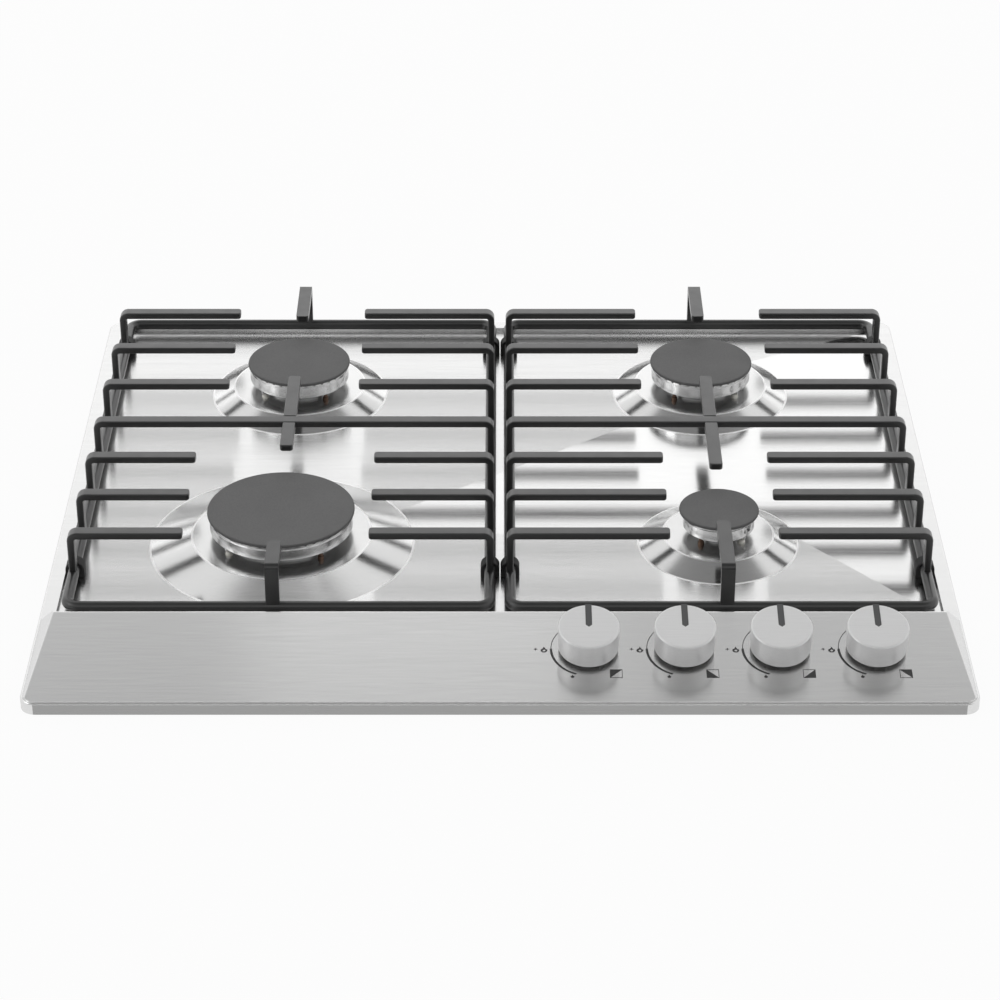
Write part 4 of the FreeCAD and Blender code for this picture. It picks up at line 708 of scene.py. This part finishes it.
def stemOutline(stem):
    # half the outline of a plug or probe: its shank, collar and stepped tip
    r = stem["radius"]
    wide = r + stem["collar"]
    low, high = surroundLevel - 3.8, surroundLevel - 0.8
    line = [(0, stem["bottom"]), (r, stem["bottom"]), (r, low), (wide, low), (wide, high), (r, high)]
    line += [(r + out, stem["top"] + up) for out, up in stem["tip"]] + [(0, stem["top"])]
    return [(x, 0, z) for x, z in line]


def stemPlace(stem, b, side):
    # beside the crown's rim, toward the front
    reach = b["crown"] - stem["inset"]
    angle = math.radians(stem["azimuth"])
    return b["x"] + side * reach * math.cos(angle), b["y"] - reach * math.sin(angle)


def makeSparkPlugs():
    plug = {
        "radius": 2.5, "top": 15.4, "bottom": -4.1, "inset": 4.5, "azimuth": 40, "collar": 0.6, "edge": 0.2,
        "tip": ((0, -1.7), (-0.5, -1.4), (-0.5, -0.9), (-0.1, -0.6), (-0.4, 0)),
        "wire": 0.8, "wireRoot": -0.2, "wireRise": 0.8, "wireTurn": 1.2, "wireReach": 1.6,
    }
    root = plug["top"] + plug["wireRoot"]
    ceramics = bmesh.new()
    wires = bmesh.new()
    for b in burners.values():
        x, y = stemPlace(plug, b, b["side"])
        body = bmesh.new()
        spinRound(body, chain(body, stemOutline(plug)), 32)
        soften(body, plug["edge"], 2)
        addShape(ceramics, body, at(x, y, 0))
        hook = bmesh.new()
        start = roundLoop(hook, plug["wire"], 16, at(0, 0, root))
        loop = runOn(hook, start, (0, 0, plug["wireRise"]))
        loop = turnOn(hook, loop, (plug["wireTurn"], 0, root + plug["wireRise"]), (0, 1, 0), 90, 8)
        loop = runOn(hook, loop, (plug["wireReach"], 0, 0))
        closeEnds(hook, start, loop)
        bmesh.ops.recalc_face_normals(hook, faces=hook.faces)
        outward = -plug["azimuth"] if b["side"] > 0 else 180 + plug["azimuth"]
        addShape(wires, hook, at(x, y, 0, outward))
    finish("sparkPlugs", ceramics, whiteCeramic, "hob", ["spark_plugs"])
    finish("sparkWires", wires, brightSteel, "hob", ["spark_wires"])


def makeFlameProbes():
    probe = {
        "radius": 2, "top": 17.4, "bottom": -10.6, "inset": 4.5, "azimuth": 50, "collar": 1,
        "tip": ((0, -2.4), (-0.6, -2), (-0.6, -0.6), (-1.2, 0)),
    }
    bm = bmesh.new()
    for b in burners.values():
        body = bmesh.new()
        spinRound(body, chain(body, stemOutline(probe)), 28)
        addShape(bm, body, at(*stemPlace(probe, b, -b["side"]), 0))
    finish("flameProbes", bm, copperProbeDullAndShaded, "hob", ["flame_probes"])


portCounts = {"front_left": 48, "rear_left": 36, "rear_right": 36, "front_right": 24}
for name, b in burners.items():
    makeCap(name, b)
    crown = makeCrown(name, b, portCounts[name])
    if name == "front_right":
        makeNotch(crown, b)
makeSparkPlugs()
makeFlameProbes()
print("burners made")


# pan supports

grate = {
    "rod": 3.6, "rodLevel": 12.4, "rootRise": 1.5, "outer": 273.6, "inner": 6.4, "middle": 143,
    "rear": 242.9, "front": -151.3, "corner": 8, "seam": 0.005, "top": 43.9, "width": 8.8, "thick": 4.6,
    "bend": 6, "centreBend": 4, "edge": 0.9, "tip": 2.1, "rearRows": (201.9, 147.4, 92.9), "bar": 38.4,
    "frontRows": (-11.1, -60.6, -110.1), "rearTip": 44.9, "frontTip": {"left": 59.3, "right": 34.6},
    "rearEnd": 193.4, "crossRear": 101.4, "crossFront": {"left": 1.1, "right": -24.3},
    "frontEnd": {"left": -122.7, "right": -97.3},
}


def roundBar(bm):
    # rolls the long edges of a bar
    soften(bm, grate["edge"], 3, 40)
    bmesh.ops.recalc_face_normals(bm, faces=bm.faces)


def roundTip(bm, reach):
    # rolls the two upright edges of a bar's free end
    def atTip(e):
        upright = abs(e.verts[0].co.z - e.verts[1].co.z) > 2 * mm
        return upright and min(v.co.x for v in e.verts) > (reach - 0.05) * mm
    soften(bm, grate["tip"], 5, 40, atTip)


def bentFinger(reach, bend):
    # a leg at x = 0 that turns over into a finger along +x
    bm = bmesh.new()
    half = grate["thick"] / 2
    root = grate["rodLevel"] + grate["rootRise"]
    start = flatLoop(bm, grate["thick"], grate["width"], at(0, 0, root))
    loop = runOn(bm, start, (0, 0, grate["top"] - bend - root))
    loop = turnOn(bm, loop, (bend - half, 0, grate["top"] - bend), (0, 1, 0), 90, 10)
    loop = runOn(bm, loop, (reach - bend + half, 0, 0))
    closeEnds(bm, start, loop)
    roundTip(bm, reach)
    roundBar(bm)
    return bm


def fingerPairs(name, side, rows, tip, body, node):
    bm = bmesh.new()
    for y in rows:
        outer = bentFinger(grate["outer"] - grate["middle"] - tip, grate["bend"])
        addShape(bm, outer, at(grate["outer"] * side, y, 0, 180 if side > 0 else 0))
        inner = bentFinger(grate["middle"] - tip - grate["inner"], grate["bend"])
        addShape(bm, inner, at(grate["inner"] * side, y, 0, 0 if side > 0 else 180))
    finish(name, bm, grateEnamel, body, [node])


def grateRing(name, side, body, node):
    # one closed ring of round rod
    bm = bmesh.new()
    g = grate
    c = g["corner"]
    left, right = sorted((g["outer"] * side, g["inner"] * side))
    z = g["rodLevel"]
    loop = roundLoop(bm, g["rod"], 28, at(left, 0, z, 90, "X"))
    corners = [
        ((0, g["rear"] - c, 0), (left + c, g["rear"] - c, z)),
        ((right - left - 2 * c, 0, 0), (right - c, g["rear"] - c, z)),
        ((0, g["front"] - g["rear"] + 2 * c, 0), (right - c, g["front"] + c, z)),
        ((left - right + 2 * c, 0, 0), (left + c, g["front"] + c, z)),
    ]
    for run, centre in corners:
        loop = runOn(bm, loop, run)
        loop = turnOn(bm, loop, centre, (0, 0, 1), -90, 10)
    runOn(bm, loop, (0, -g["front"] - c, 0))
    bmesh.ops.remove_doubles(bm, verts=bm.verts, dist=g["seam"] * mm)
    bmesh.ops.recalc_face_normals(bm, faces=bm.faces)
    finish(name, bm, grateEnamel, body, [node], smooth=40)


def straightBar(low, high, roundEnd):
    # a bar along y between two places, rounded at one end
    bm = bmesh.new()
    length = high - low
    start = flatLoop(bm, grate["thick"], grate["width"], at(0, 0, 0, 90, "Y"))
    loop = runOn(bm, start, (length, 0, 0))
    closeEnds(bm, start, loop)
    roundTip(bm, length)
    roundBar(bm)
    angle = 90 if roundEnd == "high" else -90
    root = low if roundEnd == "high" else high
    return bm, root, angle


def centreBars(name, side, word, body, node):
    bm = bmesh.new()
    g = grate
    half = g["thick"] / 2
    span = g["outer"] - g["inner"]
    cross = bmesh.new()  # the full bar, bent down at both ends
    root = g["rodLevel"] + g["rootRise"]
    bendLevel = g["top"] - g["bend"]
    start = flatLoop(cross, g["thick"], g["width"], at(0, 0, root))
    loop = runOn(cross, start, (0, 0, bendLevel - root))
    loop = turnOn(cross, loop, (g["bend"] - half, 0, bendLevel), (0, 1, 0), 90, 10)
    loop = runOn(cross, loop, (span - 2 * g["bend"] + 2 * half, 0, 0))
    loop = turnOn(cross, loop, (span - g["bend"] + half, 0, bendLevel), (0, 1, 0), 90, 10)
    loop = runOn(cross, loop, (0, 0, root - bendLevel))
    closeEnds(cross, start, loop)
    roundBar(cross)
    addShape(bm, cross, at(min(g["outer"] * side, g["inner"] * side), g["bar"], 0))
    level = g["top"] - half
    x = g["middle"] * side
    edge = g["width"] / 2
    for low, high, end in ((g["bar"] + edge, g["crossRear"], "high"),
                           (g["crossFront"][word], g["bar"] - edge, "low")):
        shape, root, angle = straightBar(low, high, end)
        addShape(bm, shape, at(x, root, level, angle))
    rear = bentFinger(g["rear"] - g["rearEnd"], g["centreBend"])
    addShape(bm, rear, at(x, g["rear"], 0, -90))
    front = bentFinger(g["frontEnd"][word] - g["front"], g["centreBend"])
    addShape(bm, front, at(x, g["front"], 0, 90))
    finish(name, bm, grateEnamel, body, [node])


def grateFeet(name, side, body, node):
    # rubber clips that hug the rod and stand on the plate
    foot = {"half": 6.1, "length": 9, "over": 1.2, "edge": 0.7, "clear": 0.02, "rows": (210.95, -101.05)}
    bm = bmesh.new()
    archLevel = grate["rodLevel"] + grate["rod"] + foot["over"] - foot["half"]
    for y in foot["rows"]:
        for x in (grate["outer"] * side, grate["inner"] * side):
            clip = bmesh.new()
            line = chain(clip, [(foot["half"], -foot["length"] / 2, archLevel),
                                (foot["half"], foot["length"] / 2, archLevel)])
            made = bmesh.ops.spin(clip, geom=loopEnds(line) + line, cent=(0, 0, archLevel * mm),
                                  axis=(0, 1, 0), angle=-math.pi, steps=16, use_duplicate=False)
            last = [e for e in made["geom_last"] if isinstance(e, bmesh.types.BMEdge)]
            drop = (0, 0, hobLevel - archLevel + foot["clear"])
            soles = runOn(clip, line, drop) + runOn(clip, last, drop)
            bmesh.ops.bridge_loops(clip, edges=soles)
            bmesh.ops.holes_fill(clip, edges=clip.edges)
            bmesh.ops.recalc_face_normals(clip, faces=clip.faces)
            soften(clip, foot["edge"], 3, 50)
            addShape(bm, clip, at(x, y, 0))
    finish(name, bm, footRubber, body, [node])


for word, side in (("left", -1), ("right", 1)):
    body = word + "_grate"
    grateRing(word + "GrateRing", side, body, word + "_grate_frame")
    fingerPairs(word + "RearFingers", side, grate["rearRows"], grate["rearTip"], body,
                word + "_grate_rear_fingers")
    fingerPairs(word + "FrontFingers", side, grate["frontRows"], grate["frontTip"][word], body,
                word + "_grate_front_fingers")
    centreBars(word + "CentreBars", side, word, body, word + "_grate_centre_bars")
    grateFeet(word + "GrateFeet", side, body, word + "_grate_feet")
print("pan supports made")


# knobs and panel print

knobs = {
    "places": (54.1, 112.8, 171.5, 230.2), "y": -210, "level": 18.5575, "tilt": 12.3, "radius": 18.9,
    "bottomRadius": 18.5, "bottom": 2.9, "top": 19.9, "crest": 0.8, "wall": 2.3, "roof": 3, "hub": 7,
    "hubRise": 0.6, "bore": 4.05, "boreRoof": 2.4, "edge": 0.35, "pointerWidth": 4, "pointerDeep": 0.4,
    "pointerRear": 19.4, "pointerFront": 1.2, "pointerTip": -0.6, "inkGap": 0.05, "inkDrop": 0.12,
}


def knobFrame(x):
    return at(x, knobs["y"], knobs["level"], knobs["tilt"], "X")


def pointerShape(bm, grow, low, high):
    # a stripe from the rear rim to the middle, with a blunt arrow tip
    half = knobs["pointerWidth"] / 2 + grow
    rear, front = knobs["pointerRear"] + grow, knobs["pointerFront"]
    face = bm.faces.new([bm.verts.new(p) for p in lift([
        (-half, rear, low), (-half, front, low), (0, knobs["pointerTip"] - grow, low),
        (half, front, low), (half, rear, low),
    ])])
    made = bmesh.ops.extrude_face_region(bm, geom=[face])["geom"]
    verts = [g for g in made if isinstance(g, bmesh.types.BMVert)]
    bmesh.ops.translate(bm, verts=verts, vec=(0, 0, (high - low) * mm))
    bmesh.ops.recalc_face_normals(bm, faces=bm.faces)


def makeKnob(number, x):
    k = knobs
    inside = k["radius"] - k["wall"]
    roof = k["top"] - k["roof"]
    hubEnd = k["bottom"] + k["hubRise"]
    bm = bmesh.new()
    line = chain(bm, [(r, 0, z) for r, z in [
        (0, k["top"]), (k["radius"] - k["crest"], k["top"]), (k["radius"], k["top"] - k["crest"]),
        (k["bottomRadius"], k["bottom"]), (inside, k["bottom"]), (inside, roof), (k["hub"], roof),
        (k["hub"], hubEnd), (k["bore"], hubEnd), (k["bore"], roof - k["boreRoof"]),
        (0, roof - k["boreRoof"]),
    ]])
    spinRound(bm, line, 120)
    outside = (k["bottomRadius"] - 1.2) * mm
    soften(bm, k["edge"], 3, 25, lambda e: min(Vector(v.co[:2]).length for v in e.verts) > outside)
    bm.transform(knobFrame(x))
    knob = finish(f"knob{number}", bm, knobSilver, f"control_{number}",
                  [f"knob_{number}"])
    floor = k["top"] - k["pointerDeep"]
    groove = bmesh.new()
    pointerShape(groove, 0, floor, k["top"] + 1)
    groove.transform(knobFrame(x))
    carve(knob, putInScene("grooveCutter", groove))
    ink = bmesh.new()
    pointerShape(ink, -k["inkGap"], floor - 0.02, k["top"] - k["inkDrop"])
    soften(ink, 0.12, 2, 40)
    ink.transform(knobFrame(x))
    finish(f"pointer{number}", ink, pointerInk, f"control_{number}")


def thicken(bm, faces, thick=0.05):
    # gives a printed patch its thickness
    made = bmesh.ops.extrude_face_region(bm, geom=faces)["geom"]
    verts = [g for g in made if isinstance(g, bmesh.types.BMVert)]
    bmesh.ops.translate(bm, verts=verts, vec=(0, 0, thick * mm))


def flatShape(bm, points, level):
    # a thin printed patch
    face = bm.faces.new([bm.verts.new((p[0] * mm, p[1] * mm, level * mm)) for p in points])
    thicken(bm, [face])


def printArc(bm, middle, radius, start, end, startWidth, endWidth, level):
    # two arcs about slightly different centres, so that the band between them tapers
    lines = []
    change = (startWidth - endWidth) / 2
    angle = math.radians(start)
    along = Vector((math.cos(angle), math.sin(angle), 0))
    for side in (1, -1):
        centre = Vector((middle[0], middle[1], level)) + along * side * change / 2
        first = centre + along * (radius + side * startWidth / 2 - side * change / 2)
        vert = bm.verts.new(first * mm)
        bmesh.ops.spin(bm, geom=[vert], cent=centre * mm, axis=(0, 0, 1), angle=math.radians(end - start),
                       steps=40, use_duplicate=False)
        lines.append([e for e in bm.edges if not e.link_faces and e not in sum(lines, [])])
    made = bmesh.ops.bridge_loops(bm, edges=lines[0] + lines[1])
    thicken(bm, made["faces"])


def panelMarks():
    marks = {
        "radius": 22.9, "middle": (0, 0.3), "turn": (138, 180, 250), "widths": (0.45, 0.6, 1.5, 0.4),
        "flame": ((0, -1.7), (0.95, -1.45), (1.5, -0.6), (1.3, 0.3), (0.85, 0.05), (0.5, 0.9),
                  (-0.15, 1.8), (-0.25, 0.95), (-0.75, 0.5), (-1.4, 0), (-1.45, -0.9), (-0.8, -1.5)),
        "heart": ((0, -1.15), (0.5, -0.95), (0.65, -0.45), (0.35, -0.2), (0.1, 0.2), (-0.2, -0.15),
                  (-0.6, -0.5), (-0.45, -0.95)),
        "flamePlace": (-27.2, -0.4), "flameScale": 1.45, "smallPlace": (-10.1, -23.2), "smallScale": 0.8,
        "sparkPlace": (-32.3, 0), "sparkReach": 1.4, "boxLow": (12.6, -24.5), "boxHigh": (20.3, -17.4),
        "line": 0.36, "sparkWidth": 0.8, "spotShare": 0.9, "level": 0.02,
        "corners": ("upperLeft", "lowerLeft", "lowerRight", "upperRight"),
    }
    level = marks["level"]
    bm = bmesh.new()
    for index, x in enumerate(knobs["places"]):
        one = bmesh.new()
        first, change, last = marks["turn"]
        widths = marks["widths"]
        printArc(one, marks["middle"], marks["radius"], first, change, widths[0], widths[1], level)
        printArc(one, marks["middle"], marks["radius"], change, last, widths[2], widths[3], level)
        flameRing(one, marks, level)
        place = marks["smallPlace"]
        scale = marks["smallScale"]
        flatShape(one, [(place[0] + p[0] * scale, place[1] + p[1] * scale) for p in marks["flame"]], level)
        middle = Vector(marks["sparkPlace"])  # a star of four points
        for k in range(4):
            angle = math.radians(k * 90)
            tip = middle + Vector((math.cos(angle), math.sin(angle))) * marks["sparkReach"]
            side = Vector((-math.sin(angle), math.cos(angle))) * marks["sparkWidth"] / 2
            flatShape(one, [tuple(tip), tuple(middle + side), tuple(middle - side)], level)
        (x0, y0), (x1, y1) = marks["boxLow"], marks["boxHigh"]  # the square that shows the burner's place
        w = marks["line"]
        for low, high in (((x0, y0), (x1, y0 + w)), ((x0, y1 - w), (x1, y1)),
                          ((x0, y0 + w), (x0 + w, y1 - w)), ((x1 - w, y0 + w), (x1, y1 - w))):
            flatShape(one, [low, (high[0], low[1]), high, (low[0], high[1])], level)
        spots = {"upperLeft": ((x0, y0), (x0, y1), (x1, y1)), "lowerLeft": ((x0, y1), (x0, y0), (x1, y0)),
                 "lowerRight": ((x0, y0), (x1, y0), (x1, y1)), "upperRight": ((x0, y1), (x1, y1), (x1, y0))}
        middle = Vector(((x0 + x1) / 2, (y0 + y1) / 2))
        spot = spots[marks["corners"][index]]
        inset = [tuple(middle + (Vector(p) - middle) * marks["spotShare"]) for p in spot]
        flatShape(one, inset, level)
        bmesh.ops.recalc_face_normals(one, faces=one.faces)
        addShape(bm, one, knobFrame(x))
    finish("panelMarks", bm, printInk, "hob")


def flameRing(bm, marks, level):
    # a flame with a bare heart: two closed lines, bridged
    place = Vector(marks["flamePlace"])
    loops = []
    for name in ("flame", "heart"):
        points = [place + Vector(p) * marks["flameScale"] for p in marks[name]]
        verts = [bm.verts.new((p.x * mm, p.y * mm, level * mm)) for p in points]
        loops += [bm.edges.new(pair) for pair in zip(verts, verts[1:] + verts[:1])]
    thicken(bm, bmesh.ops.bridge_loops(bm, edges=loops)["faces"])


for number, x in enumerate(knobs["places"], 1):
    makeKnob(number, x)
panelMarks()
print("knobs and print made")


# the parts under the plate

underParts = {  # finish, slot and rounding of the edges in mm
    "rim_seal": (foamRubber, "seal_rubber", 0.6), "base_tray": (zincSteel, "tray_steel", 0.3),
    "tray_screws": (brightSteel, "bright_steel", 0.25), "clamp_screws": (brightSteel, "bright_steel", 0.25),
    "worktop_clamps": (zincSteel, "tray_steel", 0.4), "injectors": (turnedBrass, "brass", 0.2),
    "tap_bodies": (castAlloy, "tap_alloy", 0.5), "gas_manifold": (tubeAlloy, "bright_steel", 0.3),
    "tap_bracket": (zincSteel, "tray_steel", 0.3), "spindle_seals": (footRubber, "seal_rubber", 0.2),
    "ignition_switches": (blackPlastic, "black_plastic", 0.4), "supply_pipes": (tubeAlloy, "pipe_alloy", 0.2),
    "inlet_elbow": (turnedBrass, "brass", 0.4), "cable_gland": (blackPlastic, "black_plastic", 0.4),
    "terminal_block": (blackPlastic, "black_plastic", 0.5),
    "spark_generator": (blackPlastic, "black_plastic", 0.8),
    "spark_leads": (leadSleeve, "lead_silicone", 0.2),
}
for name in burners:
    underParts[name + "_bowl"] = (castAlloy, "tap_alloy", 0.4)
for number in range(1, 5):
    underParts[f"spindle_{number}"] = (brightSteel, "bright_steel", 0.2)
    underParts[f"tap_plug_{number}"] = (turnedBrass, "brass", 0.2)


def softCopy(node, material, edge, flatAngle=0.4):
    # a merged copy of a part, with its outer edges rounded
    bm = bmesh.new()
    bm.from_mesh(nodes[node].data)
    bmesh.ops.remove_doubles(bm, verts=bm.verts, dist=mergeReach)
    bmesh.ops.dissolve_limit(bm, angle_limit=math.radians(flatAngle), verts=bm.verts, edges=bm.edges,
                             use_dissolve_boundaries=False)
    soften(bm, edge, 2, 40, lambda e: e.is_convex and e.calc_length() > edge * mm)
    words = node.split("_")
    body = "hob"
    if node.startswith("spindle_") and words[-1].isdigit():
        body = "control_" + words[-1]
    if node.startswith("tap_plug_"):
        body = "tap_" + words[-1]
    name = words[0] + "".join(word.title() for word in words[1:]) + "Part"
    finish(name, bm, material, body, [node])


for node, (material, slot, edge) in underParts.items():
    softCopy(node, material, edge)
for number in range(1, 5):  # the springs deform, so they keep their own meshes
    spring = nodes[f"tap_spring_{number}"]
    spring.data.materials.clear()
    spring.data.materials.append(brightSteel)
print("under parts made")
